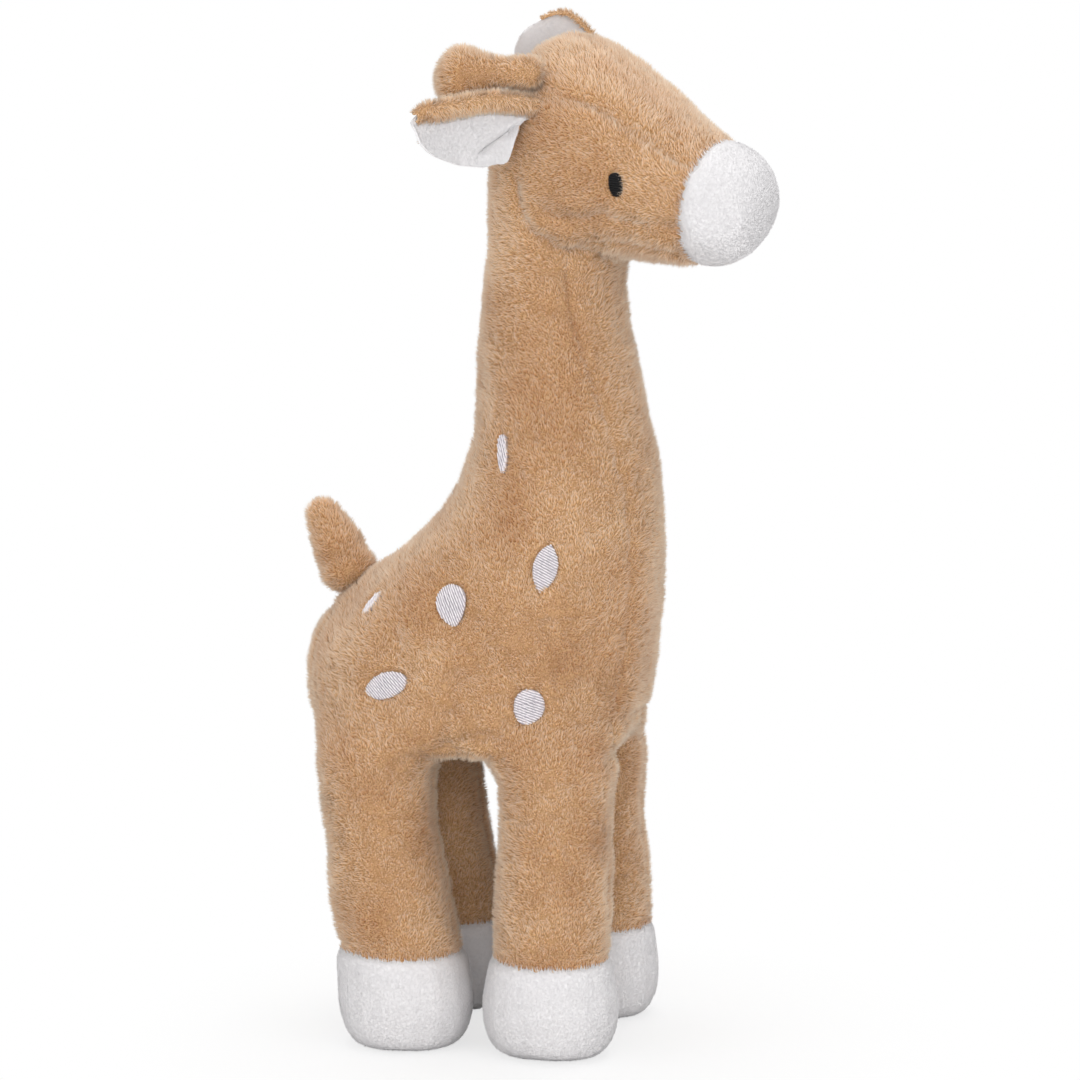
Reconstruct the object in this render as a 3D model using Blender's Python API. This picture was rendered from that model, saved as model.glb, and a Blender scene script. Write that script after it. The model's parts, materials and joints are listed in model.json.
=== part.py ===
"""A standing plush giraffe: pile-fabric panels sewn over fibre stuffing.

The toy faces +X, its right side is -Y and it stands on z = 0. One smooth body surface is modelled as a
cage and subdivided. That surface is cut into the sewn panels, each a closed sheet of fabric, and the
same surface, offset inwards, gives the stuffing. Ears, horns and tail hang on their root seams.
"""

import math

import bmesh
import bpy
from mathutils import Matrix, Vector
from mathutils.bvhtree import BVHTree

# Legs and feet
LEG_HEIGHT = 0.108
HIP_SPREAD = 0.0550
FOOT_SPREAD = 0.062
FRONT_FOOT_X = 0.0275
REAR_FOOT_X = -0.0275
FRONT_HIP_SHARE = 0.7482
REAR_HIP_SHARE = 0.2518
HIP_WIDTH = 0.047
LEG_WIDTH = 0.043
FOOT_WIDTH = 0.0505
FOOT_HEIGHT = 0.0355
SOLE_WIDTH = 0.034

# Torso
TORSO_HEIGHT = 0.089
TORSO_LENGTH = 0.139
TORSO_WIDTH = 0.098
TORSO_REAR_X = -0.075

# Neck
NECK_LENGTH = 0.084
NECK_WIDTH = 0.056
NECK_X = 0.0215

# Head and muzzle
HEAD_LENGTH = 0.0945
HEAD_HEIGHT = 0.098
HEAD_WIDTH = 0.076
MUZZLE_WIDTH = 0.048
MUZZLE_LENGTH = 0.022
MUZZLE_DROOP_DEG = 19
HEAD_TURN_DEG = 17

# Panel seams, as half widths of the middle panels
CHEST_PANEL_HALF = 0.0215
CHIN_PANEL_HALF = 0.012
CROWN_PANEL_SHARE = 0.92
NAPE_PANEL_SHARE = 0.4
CORNER_SHARE = 0.42
SEAM_SIDE_SHARE = 0.333

# Fabric and stuffing
FABRIC = 0.0030
SEAM_GAP = 0.0003
SEAM_TAPER_SHARE = 2.0
FIT_GAP = 0.0003
STUFFING_GAP = 0.0005
LEG_STUFFING_SHARE = 1.0

# Ears
EAR_LENGTH = 0.0440
EAR_WIDTH = 0.0278
EAR_CUP = 0.0045
EAR_LAYER = 0.0030
EAR_ROOT_AHEAD = 0.0355
EAR_ROOT_RISE = 0.0545
LEFT_EAR_RISE = 0.0100
LEFT_EAR_BACK = 0.0080
LEFT_EAR_TILT_DEG = 42

# Horns
HORN_LENGTH = 0.0370
HORN_WIDTH = 0.0205
HORN_ROOT_WIDTH = 0.0150
HORN_ROOT_AHEAD = 0.0340
HORN_ROOT_RISE = 0.0705
LEFT_HORN_AHEAD = 0.0085
LEFT_HORN_DROP = 0.0075

# Tail
TAIL_LENGTH = 0.0368
TAIL_WIDTH = 0.0205
TAIL_THICKNESS = 0.0195
TAIL_ROOT_WIDTH = 0.0185
TAIL_ROOT_RISE = 0.0605

# Small stuffed pieces
SMALL_FABRIC = 0.0022
ROOT_OPENING = 0.0050
ROOT_SEAT = 0.0005

# Embroidery
STITCH_HEIGHT = 0.0010
STITCH_SEAT = 0.0005
EYE_AHEAD = 0.0718
EYE_RISE = 0.0328
EYE_WIDTH = 0.0054
EYE_HEIGHT = 0.0092
SPOT_LENGTH = 0.0168
SPOT_WIDTH = 0.0118

# Fineness
CAGE_SIDE = 5
SMOOTHING_LEVELS = 1
SHARP_ANGLE_DEG = 50
ROUND_SEGMENTS = 12
EAR_COLUMNS = 6
SEAT_TRIES = 3
FILLING_TRIES = 6
MERGE_DISTANCE = 0.00003

# Ring of the torso: height, rear and front ends, width, corner squareness and rear seam half width
TORSO_RING_SHARES = (
    (0.135, 0.022, 0.930, 1.000, 2.60, 0.480),
    (0.360, 0.000, 0.965, 1.000, 2.30, 0.300),
    (0.560, 0.072, 0.989, 0.980, 2.10, 0.130),
    (0.740, 0.194, 1.000, 0.920, 2.00, 0.300),
    (1.000, 0.388, 0.989, 0.810, 2.00, 0.400),
)
# Ring of the neck: height, rear and front reach from its axis and half width, both as shares of its width
NECK_RING_SHARES = (
    (0.250, 0.598, 0.679, 0.616),
    (0.550, 0.527, 0.598, 0.554),
    (0.850, 0.500, 0.500, 0.500),
)
# Ring of the head: jaw point and crown point (length share, height share), half width and seam share
HEAD_RING_SHARES = (
    ((0.560, 0.060), (0.015, 0.163), 0.382, 0.30),
    ((0.590, 0.070), (0.045, 0.500), 0.450, 0.20),
    ((0.640, 0.060), (0.130, 0.800), 0.492, 0.80),
    ((0.710, 0.052), (0.330, 1.018), 0.500, 0.95),
    ((0.820, 0.044), (0.592, 0.905), 0.460, 0.96),
    ((0.915, 0.036), (0.845, 0.682), 0.390, 0.95),
)
MUZZLE_SEAT_SHARES = (1.0, 0.290)
# Ring of the muzzle: distance past its seam and radius
MUZZLE_RING_SHARES = ((0.50, 0.95), (0.88, 0.60))
# Ring of a leg above the foot: height and how far it has gone from hip to foot, and width
LEG_RING_SHARES = ((0.880, 0.04, 1.040), (0.690, 0.25, 1.010), (0.480, 0.58, 1.050))
# Ring of a foot: height and width
FOOT_RING_SHARES = ((1.0, 0.900), (0.480, 1.000), (0.140, 0.860))

# Place of a spot on the flank: length and height along the torso, turn, and length and width
SPOT_SHARES = (
    ((0.614, 1.243), 88, (0.85, 0.52)),
    ((0.743, 0.782), 75, (1.02, 0.86)),
    ((0.499, 0.626), 105, (1.00, 1.03)),
    ((0.239, 0.617), 45, (0.88, 0.62)),
    ((0.321, 0.289), 8, (0.95, 0.85)),
    ((0.706, 0.224), 88, (0.85, 1.02)),
)
# Outline of an ear: distance from its root and half width
EAR_OUTLINE_SHARES = (
    (0.0, 0.34), (0.14, 0.43), (0.32, 0.50), (0.54, 0.49), (0.74, 0.41), (0.90, 0.27), (1.0, 0.10),
)
# Outline of a horn and of the tail: distance from the root and width
HORN_OUTLINE_SHARES = ((0.25, 0.82), (0.45, 0.90), (0.68, 1.00), (0.86, 0.86), (0.97, 0.45))
TAIL_OUTLINE_SHARES = ((0.22, 1.00), (0.45, 0.94), (0.70, 0.83), (0.88, 0.66), (0.97, 0.38))
ROOT_ARC_SHARES = (0.30, 0.55, 0.80)

# Directions in which the right ear, the horns and the tail point
EAR_AIM = (-0.48, -0.87, 0.03)
HORN_AIMS = {"right": (-0.85, -0.50, 0.03), "left": (-0.55, 0.83, -0.06)}
TAIL_AIM = (-0.415, 0, 0.91)
UP = Vector((0, 0, 1))


def rgb(red, green, blue):
    """A colour from its 0-255 display values."""
    return tuple(((c / 255 + 0.055) / 1.055) ** 2.4 for c in (red, green, blue)) + (1.0,)


# Finishes
TAN = ("tan_pile", rgb(196, 158, 117), 0.95)
WHITE = ("white_pile", rgb(238, 237, 236), 0.92)
BLACK_THREAD = ("black_thread", rgb(24, 23, 24), 0.55)
WHITE_THREAD = ("white_thread", rgb(226, 226, 230), 0.50)
FIBRE = ("stuffing_fibre", rgb(240, 240, 238), 1.0)

# Names of the legs with their place on the belly grid: first row, first column, and side
LEGS = (
    ("front_right", 3, 0, -1),
    ("front_left", 3, 3, 1),
    ("rear_right", 0, 0, -1),
    ("rear_left", 0, 3, 1),
)
SIDES = (("right", -1), ("left", 1))
PANELS = ["side_panel", "chest_gusset", "belly_gusset", "head_gusset", "muzzle_cap"]
PANELS += ["inner_leg_" + leg[0] for leg in LEGS]
PANELS += ["foot_cap_" + leg[0] for leg in LEGS]
PANELS += ["sole_" + leg[0] for leg in LEGS]
WHITE_PANELS = ("muzzle_cap", "foot_cap", "sole")

TORSO_TOP_Z = LEG_HEIGHT + TORSO_HEIGHT
FRONT_HIP_X = TORSO_REAR_X + TORSO_LENGTH * FRONT_HIP_SHARE
REAR_HIP_X = TORSO_REAR_X + TORSO_LENGTH * REAR_HIP_SHARE
HEAD_BASE_Z = TORSO_TOP_Z + NECK_LENGTH
HEAD_REAR_X = NECK_X - NECK_WIDTH / 2


def clear_scene():
    """Empties the scene, so that the script can be run again."""
    for old in list(bpy.data.objects):
        bpy.data.objects.remove(old)


def finish_material(finish):
    """The material of a finish, made once."""
    name, colour, roughness = finish
    material = bpy.data.materials.get(name)
    if material is None:
        material = bpy.data.materials.new(name)
        material.use_nodes = True
        shader = material.node_tree.nodes["Principled BSDF"]
        shader.inputs["Base Color"].default_value = colour
        shader.inputs["Roughness"].default_value = roughness
        shader.inputs["Metallic"].default_value = 0.0
    return material


def add_object(name, bm, finish, parent=None):
    """Links the closed mesh as a named object with its finish, shaded smooth."""
    bmesh.ops.recalc_face_normals(bm, faces=bm.faces)
    for face in bm.faces:
        face.material_index = 0
        face.smooth = True
    mesh = bpy.data.meshes.new(name)
    bm.to_mesh(mesh)
    bm.free()
    mesh.set_sharp_from_angle(angle=math.radians(SHARP_ANGLE_DEG))
    mesh.materials.append(finish_material(finish))
    added = bpy.data.objects.new(name, mesh)
    bpy.context.scene.collection.objects.link(added)
    added.parent = parent
    return added


def cage_gain(count):
    """How far a ring of the cage stands out from the smooth surface it makes."""
    return 6 / (4 + 2 * math.cos(2 * math.pi / count))


def ring_angles(front_seam, rear_seam):
    """Angles from the front of a ring's points, in the order of the belly grid's edge."""
    half_turn = math.pi
    front_corner = front_seam + (half_turn / 2 - front_seam) * CORNER_SHARE
    rear_corner = rear_seam + (half_turn / 2 - rear_seam) * CORNER_SHARE
    step = (half_turn - rear_corner - front_corner) / CAGE_SIDE
    left = [front_corner + step * count for count in range(1, CAGE_SIDE)]
    front = [-front_corner, -front_seam, -front_seam * SEAM_SIDE_SHARE]
    rear = [half_turn - rear_corner, half_turn - rear_seam, half_turn - rear_seam * SEAM_SIDE_SHARE]
    angles = front + [-a for a in reversed(front)] + left + rear
    angles += [2 * half_turn - a for a in reversed(rear)]
    angles += [2 * half_turn - a for a in reversed(left)]
    return angles


def ring_places(front, rear, half_width, angles, squareness=2.0):
    """Points of a ring that passes through its front and rear points in the plane y = 0."""
    centre = (front + rear) / 2
    reach = (front - rear) / 2
    across = Vector((0, half_width, 0))
    power = 2 / squareness
    gain = cage_gain(len(angles))
    places = []
    for angle in angles:
        along = math.copysign(abs(math.cos(angle)) ** power, math.cos(angle))
        aside = math.copysign(abs(math.sin(angle)) ** power, math.sin(angle))
        places.append(centre + (reach * along + across * aside) * gain)
    return places


def seam_angle(seam_half, half_width, squareness=2.0):
    """Angle at which a ring is seam_half away from the plane y = 0."""
    share = min(seam_half / half_width, 1.0)
    return math.asin(share ** (squareness / 2))


def torso_rings():
    """Each ring's points and the height that they are at, from the belly up."""
    rings = []
    for height, rear, front, width, squareness, rear_seam in TORSO_RING_SHARES:
        z = LEG_HEIGHT + TORSO_HEIGHT * height
        rear_point = Vector((TORSO_REAR_X + TORSO_LENGTH * rear, 0, z))
        front_point = Vector((TORSO_REAR_X + TORSO_LENGTH * front, 0, z))
        half_width = TORSO_WIDTH * width / 2
        angles = ring_angles(
            seam_angle(CHEST_PANEL_HALF, half_width, squareness),
            seam_angle(rear_seam * half_width, half_width, squareness),
        )
        rings.append(ring_places(front_point, rear_point, half_width, angles, squareness))
    return rings


def neck_rings():
    """Rings of the neck, each level."""
    rings = []
    for height, rear, front, half in NECK_RING_SHARES:
        z = TORSO_TOP_Z + NECK_LENGTH * height
        rear_point = Vector((NECK_X - NECK_WIDTH * rear, 0, z))
        front_point = Vector((NECK_X + NECK_WIDTH * front, 0, z))
        half_width = NECK_WIDTH * half
        front_seam = seam_angle(CHEST_PANEL_HALF, half_width)
        angles = ring_angles(front_seam, seam_angle(half_width * NAPE_PANEL_SHARE, half_width))
        rings.append(ring_places(front_point, rear_point, half_width, angles))
    return rings


def head_point(shares):
    """A point of the head's side view from its length and height shares."""
    length, height = shares
    return Vector((HEAD_REAR_X + HEAD_LENGTH * length, 0, HEAD_BASE_Z + HEAD_HEIGHT * height))


def head_rings():
    """Rings that fan out from the throat to the muzzle's seam."""
    rings = []
    for jaw, crown, half, crown_seam in HEAD_RING_SHARES:
        half_width = HEAD_WIDTH * half
        share = jaw[0] - HEAD_RING_SHARES[0][0][0]
        chin = CHEST_PANEL_HALF + (CHIN_PANEL_HALF - CHEST_PANEL_HALF) * min(share * 2, 1)
        angles = ring_angles(
            seam_angle(chin, half_width),
            seam_angle(half_width * crown_seam, half_width),
        )
        rings.append(ring_places(head_point(jaw), head_point(crown), half_width, angles))
    return rings


def muzzle_rings():
    """Rings of the muzzle from its seam to near the nose."""
    seat = head_point(MUZZLE_SEAT_SHARES)
    droop = math.radians(MUZZLE_DROOP_DEG)
    ahead = Vector((math.cos(droop), 0, -math.sin(droop)))
    down = Vector((-math.sin(droop), 0, -math.cos(droop)))
    radius = MUZZLE_WIDTH / 2
    rings = []
    for past, width in ((0.0, 1.0),) + MUZZLE_RING_SHARES:
        centre = seat + ahead * MUZZLE_LENGTH * past
        reach = down * radius * width
        angles = ring_angles(
            seam_angle(CHIN_PANEL_HALF, radius),
            seam_angle(radius * CROWN_PANEL_SHARE, radius),
        )
        rings.append(ring_places(centre + reach, centre - reach, radius * width, angles))
    return rings, seat + ahead * MUZZLE_LENGTH


def grid_ring(points):
    """The edge of the belly grid in ring order, from its front right corner."""
    last = CAGE_SIDE
    order = [(last, j) for j in range(last + 1)]
    order += [(i, last) for i in range(last - 1, -1, -1)]
    order += [(0, j) for j in range(last - 1, -1, -1)]
    order += [(i, 0) for i in range(1, last)]
    return [points[key] for key in order]


def leg_place(share, front, side):
    """Where a leg's axis is, as a share of the way from its hip to its foot."""
    hip, foot = (FRONT_HIP_X, FRONT_FOOT_X) if front else (REAR_HIP_X, REAR_FOOT_X)
    spread = HIP_SPREAD + (FOOT_SPREAD - HIP_SPREAD) * share
    return Vector((hip + (foot - hip) * share, side * spread / 2, 0))


def disc_place(i, j):
    """Place of a point of a 3 by 3 patch on the unit disc."""
    x, y = i - 1, j - 1
    size = math.hypot(x, y)
    return Vector((x / size, y / size, 0)) if size else Vector()


def belly_grid(bm):
    """The belly: a grid whose four corner patches are the hips."""
    bmesh.ops.create_grid(bm, x_segments=CAGE_SIDE, y_segments=CAGE_SIDE, size=CAGE_SIDE / 2)
    points = {}
    for vert in bm.verts:
        points[(round(vert.co.x + CAGE_SIDE / 2), round(vert.co.y + CAGE_SIDE / 2))] = vert
    for name, row, column, side in LEGS:
        centre = leg_place(0, row > 0, side)
        for i in range(3):
            for j in range(3):
                reach = disc_place(i, j) * HIP_WIDTH / 2 * cage_gain(8)
                points[(row + i, column + j)].co = centre + reach + Vector((0, 0, LEG_HEIGHT))
    for face in bm.faces:
        face.material_index = PANELS.index("belly_gusset")
    return points


def extrude_ring(bm, ring, places):
    """Extrudes a ring of points and moves the new ring to its places."""
    edges = [bm.edges.get((a, b)) for a, b in zip(ring, ring[1:] + ring[:1])]
    made = bmesh.ops.extrude_edge_only(bm, edges=edges)["geom"]
    fresh = {v for v in made if isinstance(v, bmesh.types.BMVert)}
    following = []
    for vert, place in zip(ring, places):
        new = next(e.other_vert(vert) for e in vert.link_edges if e.other_vert(vert) in fresh)
        following.append(new)
    for new, place in zip(following, places):
        new.co = place
    return following


def label_band(lower, upper, names):
    """Gives the faces between two rings their panels; names has one for each column."""
    for count, name in enumerate(names):
        pair = {lower[count], upper[(count + 1) % len(upper)]}
        face = next(f for f in lower[count].link_faces if pair <= set(f.verts))
        face.material_index = PANELS.index(name)


def band_names(front_panel, rear_panel):
    """Panel of each column of a band: three in front, three at the rear, the sides between."""
    side = "side_panel"
    front = [side, front_panel, front_panel, front_panel, side]
    rear = [side, rear_panel, rear_panel, rear_panel, side]
    return front + [side] * CAGE_SIDE + rear + [side] * CAGE_SIDE


def add_leg(bm, points, leg):
    """Draws a leg and its foot out of a corner patch of the belly."""
    name, row, column, side = leg
    keys = [(i, j) for i in range(3) for j in range(3)]
    patch = {key: points[(row + key[0], column + key[1])] for key in keys}
    stations = []
    for height, gone, width in LEG_RING_SHARES:
        centre = leg_place(gone, row > 0, side) + Vector((0, 0, LEG_HEIGHT * height))
        stations.append((centre, LEG_WIDTH * width, None))
    for height, width in FOOT_RING_SHARES:
        centre = leg_place(1, row > 0, side) + Vector((0, 0, FOOT_HEIGHT * height))
        stations.append((centre, FOOT_WIDTH * width, "foot_cap_"))
    stations.append((leg_place(1, row > 0, side), SOLE_WIDTH, "foot_cap_"))
    stations[len(LEG_RING_SHARES)] = stations[len(LEG_RING_SHARES)][:2] + (None,)
    for centre, width, label in stations:
        faces = patch_faces(patch)
        made = bmesh.ops.extrude_face_region(bm, geom=faces)["geom"]
        fresh = [v for v in made if isinstance(v, bmesh.types.BMVert)]
        following = {key: min(fresh, key=lambda v: (v.co - patch[key].co).length) for key in keys}
        bmesh.ops.delete(bm, geom=faces, context="FACES")
        for key in keys:
            following[key].co = centre + disc_place(*key) * width / 2 * cage_gain(8)
        for face in {f for v in following.values() for f in v.link_faces}:
            face.material_index = PANELS.index((label or "inner_leg_") + name)
        if label is None:
            for face in outer_leg_faces(patch, following, side):
                face.material_index = PANELS.index("side_panel")
        patch = following
    for face in patch_faces(patch):
        face.material_index = PANELS.index("sole_" + name)


def patch_faces(patch):
    """The four faces between a patch's nine points."""
    verts = set(patch.values())
    return [f for f in patch[(1, 1)].link_faces if set(f.verts) <= verts]


def outer_leg_faces(upper, lower, side):
    """The faces of a leg's band on the outer side of its front and rear lines."""
    outer = {0, 1} if side < 0 else {1, 2}
    verts = {upper[k] for k in upper if k[1] in outer} | {lower[k] for k in lower if k[1] in outer}
    edge = {k for k in lower if k != (1, 1) and k[1] in outer}
    faces = {f for k in edge for f in lower[k].link_faces}
    inner_faces = set(patch_faces(lower))
    return [f for f in faces - inner_faces if set(f.verts) <= verts]


def body_cage():
    """The closed cage of the whole body, each face labelled with its panel."""
    bm = bmesh.new()
    points = belly_grid(bm)
    ring = grid_ring(points)
    torso, neck, head = torso_rings(), neck_rings(), head_rings()
    muzzle, nose = muzzle_rings()
    tongue = 3
    for count, places in enumerate(torso + neck):
        upper = extrude_ring(bm, ring, places)
        front = "belly_gusset" if count == 0 else "chest_gusset"
        rear = "belly_gusset" if count < tongue else "side_panel"
        label_band(ring, upper, band_names(front, rear))
        ring = upper
    for count, places in enumerate(head + muzzle[:1]):
        upper = extrude_ring(bm, ring, places)
        rear = "side_panel" if count < 2 else "head_gusset"
        label_band(ring, upper, band_names("chest_gusset", rear))
        ring = upper
    for places in muzzle[1:]:
        upper = extrude_ring(bm, ring, places)
        label_band(ring, upper, ["muzzle_cap"] * len(ring))
        ring = upper
    tip = extrude_ring(bm, ring, [nose] * len(ring))
    label_band(ring, tip, ["muzzle_cap"] * len(ring))
    bmesh.ops.pointmerge(bm, verts=tip, merge_co=nose)
    for leg in LEGS:
        add_leg(bm, points, leg)
    bmesh.ops.recalc_face_normals(bm, faces=bm.faces)
    return bm


def smooth_body():
    """The smooth body surface, and a coarse one through some of its points, before the head turns."""
    coarse = body_cage()
    mesh = bpy.data.meshes.new("body_cage")
    coarse.to_mesh(mesh)
    form = bpy.data.objects.new("body_cage", mesh)
    bpy.context.scene.collection.objects.link(form)
    for label in PANELS:
        mesh.materials.append(None)
    smoothing = form.modifiers.new("smoothing", "SUBSURF")
    smoothing.levels = smoothing.render_levels = SMOOTHING_LEVELS
    graph = bpy.context.evaluated_depsgraph_get()
    fine = bmesh.new()
    fine.from_mesh(form.evaluated_get(graph).to_mesh())
    bpy.data.objects.remove(form)
    soles = {PANELS.index("sole_" + leg[0]) for leg in LEGS}
    for face in fine.faces:
        if face.material_index in soles:
            for vert in face.verts:
                vert.co.z = 0
    fine.verts.ensure_lookup_table()
    for vert in coarse.verts:
        vert.co = fine.verts[vert.index].co
    bmesh.ops.triangulate(fine, faces=fine.faces, quad_method="SHORT_EDGE")
    return fine, coarse


def turned(place):
    """A point of the straight toy after the neck has turned the head to its right."""
    low = TORSO_TOP_Z
    share = min(max((place.z - low) / (HEAD_BASE_Z - low), 0), 1)
    share = share * share * (3 - 2 * share)
    turn = Matrix.Rotation(math.radians(-HEAD_TURN_DEG) * share, 3, "Z")
    axis = Vector((NECK_X, 0, 0))
    return turn @ (place - axis) + axis


def panel_faces(body):
    """Which faces of the straight body belong to each fabric panel."""
    panels = {}
    for face in body.faces:
        name = PANELS[face.material_index]
        if name == "side_panel":
            name += "_right" if face.calc_center_median().y < 0 else "_left"
        panels.setdefault(name, []).append(face.index)
    return panels


def fabric_panel(body, indices):
    """A closed sheet of fabric under the given faces, half a seam gap short of their edges."""
    sheet = body.copy()
    outward = sheet.verts.layers.float_vector["outward"]
    seam = sheet.verts.layers.float_vector.new("seam")
    for vert in sheet.verts:
        vert[seam] = vert.co
    sheet.faces.ensure_lookup_table()
    kept = {sheet.faces[index] for index in indices}
    spare = [face for face in sheet.faces if face not in kept]
    bmesh.ops.delete(sheet, geom=spare, context="FACES")
    rim = bmesh.ops.inset_region(
        sheet,
        faces=list(sheet.faces),
        thickness=SEAM_GAP / 2,
        use_boundary=True,
        use_even_offset=True,
    )["faces"]
    bmesh.ops.delete(sheet, geom=rim, context="FACES")
    made = bmesh.ops.extrude_face_region(sheet, geom=list(sheet.faces))["geom"]
    for vert in made:
        if isinstance(vert, bmesh.types.BMVert):
            vert.co += (vert.co - vert[seam]) * SEAM_TAPER_SHARE - vert[outward] * FABRIC
    return sheet


def cut_away(bm, place, normal):
    """Removes what lies beyond a plane and closes the cut."""
    everything = list(bm.verts) + list(bm.edges) + list(bm.faces)
    cut = bmesh.ops.bisect_plane(
        bm, geom=everything, plane_co=place, plane_no=normal, clear_outer=True
    )["geom_cut"]
    edges = [item for item in cut if isinstance(item, bmesh.types.BMEdge)]
    bmesh.ops.edgeloop_fill(bm, edges=edges)


def joined_faces(start):
    """All faces that hang together with one face."""
    found = {start}
    waiting = [start]
    while waiting:
        for edge in waiting.pop().edges:
            for face in edge.link_faces:
                if face not in found:
                    found.add(face)
                    waiting.append(face)
    return found


def shrink_filling(filling, tree):
    """Shrinks the coarse body until all its faces are inside the fabric."""
    for vert in filling.verts:
        vert.co -= vert.normal * (FABRIC + STUFFING_GAP)
    for attempt in range(FILLING_TRIES):
        moves = {}
        for face in filling.faces:
            middles = [(edge.verts[0].co + edge.verts[1].co) / 2 for edge in face.edges]
            for place in middles + [face.calc_center_median()]:
                hit, normal, _, _ = tree.find_nearest(place)
                short = FABRIC + STUFFING_GAP - (hit - place).dot(normal)
                for vert in face.verts:
                    moves[vert] = max(moves.get(vert, 0), short)
        for vert, short in moves.items():
            vert.co -= vert.normal * short


def add_stuffing(filling):
    """Cuts the filling into the parts that are stuffed one after another."""
    up, down = Vector((0, 0, 1)), Vector((0, 0, -1))
    levels = [LEG_HEIGHT * LEG_STUFFING_SHARE, TORSO_TOP_Z, HEAD_BASE_Z]
    lift = up * FIT_GAP / 2
    stack = {
        "torso_stuffing": (levels[0], levels[1]),
        "neck_stuffing": (levels[1], levels[2]),
        "head_stuffing": (levels[2], None),
    }
    for name, (low, high) in stack.items():
        piece = filling.copy()
        cut_away(piece, up * low + lift, down)
        if high is not None:
            cut_away(piece, up * high - lift, up)
        add_object(name, piece, FIBRE)
    for name, row, column, side in LEGS:
        piece = filling.copy()
        cut_away(piece, up * levels[0] - lift, up)
        foot_x = FRONT_FOOT_X if row > 0 else REAR_FOOT_X
        foot = Vector((foot_x, side * FOOT_SPREAD / 2, 0))
        leg = joined_faces(min(piece.faces, key=lambda face: (face.calc_center_median() - foot).length))
        others = [face for face in piece.faces if face not in leg]
        bmesh.ops.delete(piece, geom=others, context="FACES")
        add_object("leg_stuffing_" + name, piece, FIBRE)
    filling.free()


def head_place(ahead, rise):
    """A place ahead of the back of the neck and above the head's base."""
    return Vector((HEAD_REAR_X + ahead, 0, HEAD_BASE_Z + rise))


def surface_seat(tree, place, side):
    """Where a level line from one side at a place's length and height meets the body."""
    start = Vector((place.x, side * TORSO_LENGTH, place.z))
    hit, normal, _, _ = tree.ray_cast(start, Vector((0, -side, 0)))
    return hit, normal


def add_patch(name, trees, place, side, size, turn_deg, finish):
    """An oval of stitches lying on the fabric at a place of the straight body."""
    straight, bent = trees
    seat, normal = surface_seat(straight, place, side)
    along = Vector((1, 0, 0)) - normal * normal.x
    along.normalize()
    across = normal.cross(along) * -side
    turn = math.radians(turn_deg)
    long_way = along * math.cos(turn) + across * math.sin(turn)
    short_way = along * -math.sin(turn) + across * math.cos(turn)
    bm = bmesh.new()
    bmesh.ops.create_circle(bm, cap_ends=True, cap_tris=True, segments=ROUND_SEGMENTS, radius=1)
    for vert in bm.verts:
        flat = seat + long_way * vert.co.x * size[0] / 2 + short_way * vert.co.y * size[1] / 2
        under, facing, _, _ = bent.find_nearest(turned(flat))
        vert.co = under + facing * STITCH_SEAT
    middle = bm.faces[:]
    facing = bent.find_nearest(turned(seat))[1]
    made = bmesh.ops.extrude_face_region(bm, geom=middle)["geom"]
    for vert in made:
        if isinstance(vert, bmesh.types.BMVert):
            vert.co += facing * STITCH_HEIGHT
    add_object(name, bm, finish)


def add_embroidery(trees):
    """Both eyes, and the spots of both flanks."""
    for side_name, side in SIDES:
        eye = head_place(EYE_AHEAD, EYE_RISE)
        add_patch("eye_" + side_name, trees, eye, side, (EYE_HEIGHT, EYE_WIDTH), 90, BLACK_THREAD)
        for count, ((along, up), turn, (length, width)) in enumerate(SPOT_SHARES, 1):
            place = Vector(
                (TORSO_REAR_X + TORSO_LENGTH * along, 0, LEG_HEIGHT + TORSO_HEIGHT * up)
            )
            size = (SPOT_LENGTH * length, SPOT_WIDTH * width)
            name = f"spot_{side_name}_{count}"
            add_patch(name, trees, place, side, size, turn, WHITE_THREAD)


def head_turn():
    """The rotation of the whole head."""
    return Matrix.Rotation(math.radians(-HEAD_TURN_DEG), 4, "Z")


def root_frame(name, seat, hinge, aim, turns):
    """An empty on a root seam: its Z lies along the hinge and its X the way the piece points."""
    aim = Vector(aim).normalized()
    hinge = (hinge - aim * hinge.dot(aim)).normalized()
    basis = Matrix((aim, hinge.cross(aim), hinge)).transposed().to_4x4()
    frame = bpy.data.objects.new(name, None)
    frame.empty_display_size = ROOT_OPENING
    spin = head_turn() if turns else Matrix.Identity(4)
    frame.matrix_world = Matrix.Translation(turned(seat)) @ spin @ basis
    bpy.context.scene.collection.objects.link(frame)
    return frame


def seat_on(frame, pieces, tree):
    """Moves a root off the body until its pieces just clear the fabric."""
    normal = tree.find_nearest(frame.matrix_world.translation)[1]
    for attempt in range(SEAT_TRIES):
        bpy.context.view_layer.update()
        nearest = None
        for piece in pieces:
            for vert in piece.data.vertices:
                place = frame.matrix_world @ vert.co
                hit, facing, _, _ = tree.find_nearest(place)
                height = (place - hit).dot(facing)
                nearest = height if nearest is None else min(nearest, height)
        frame.location += normal * (ROOT_SEAT - nearest)
    bpy.context.view_layer.update()


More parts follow.
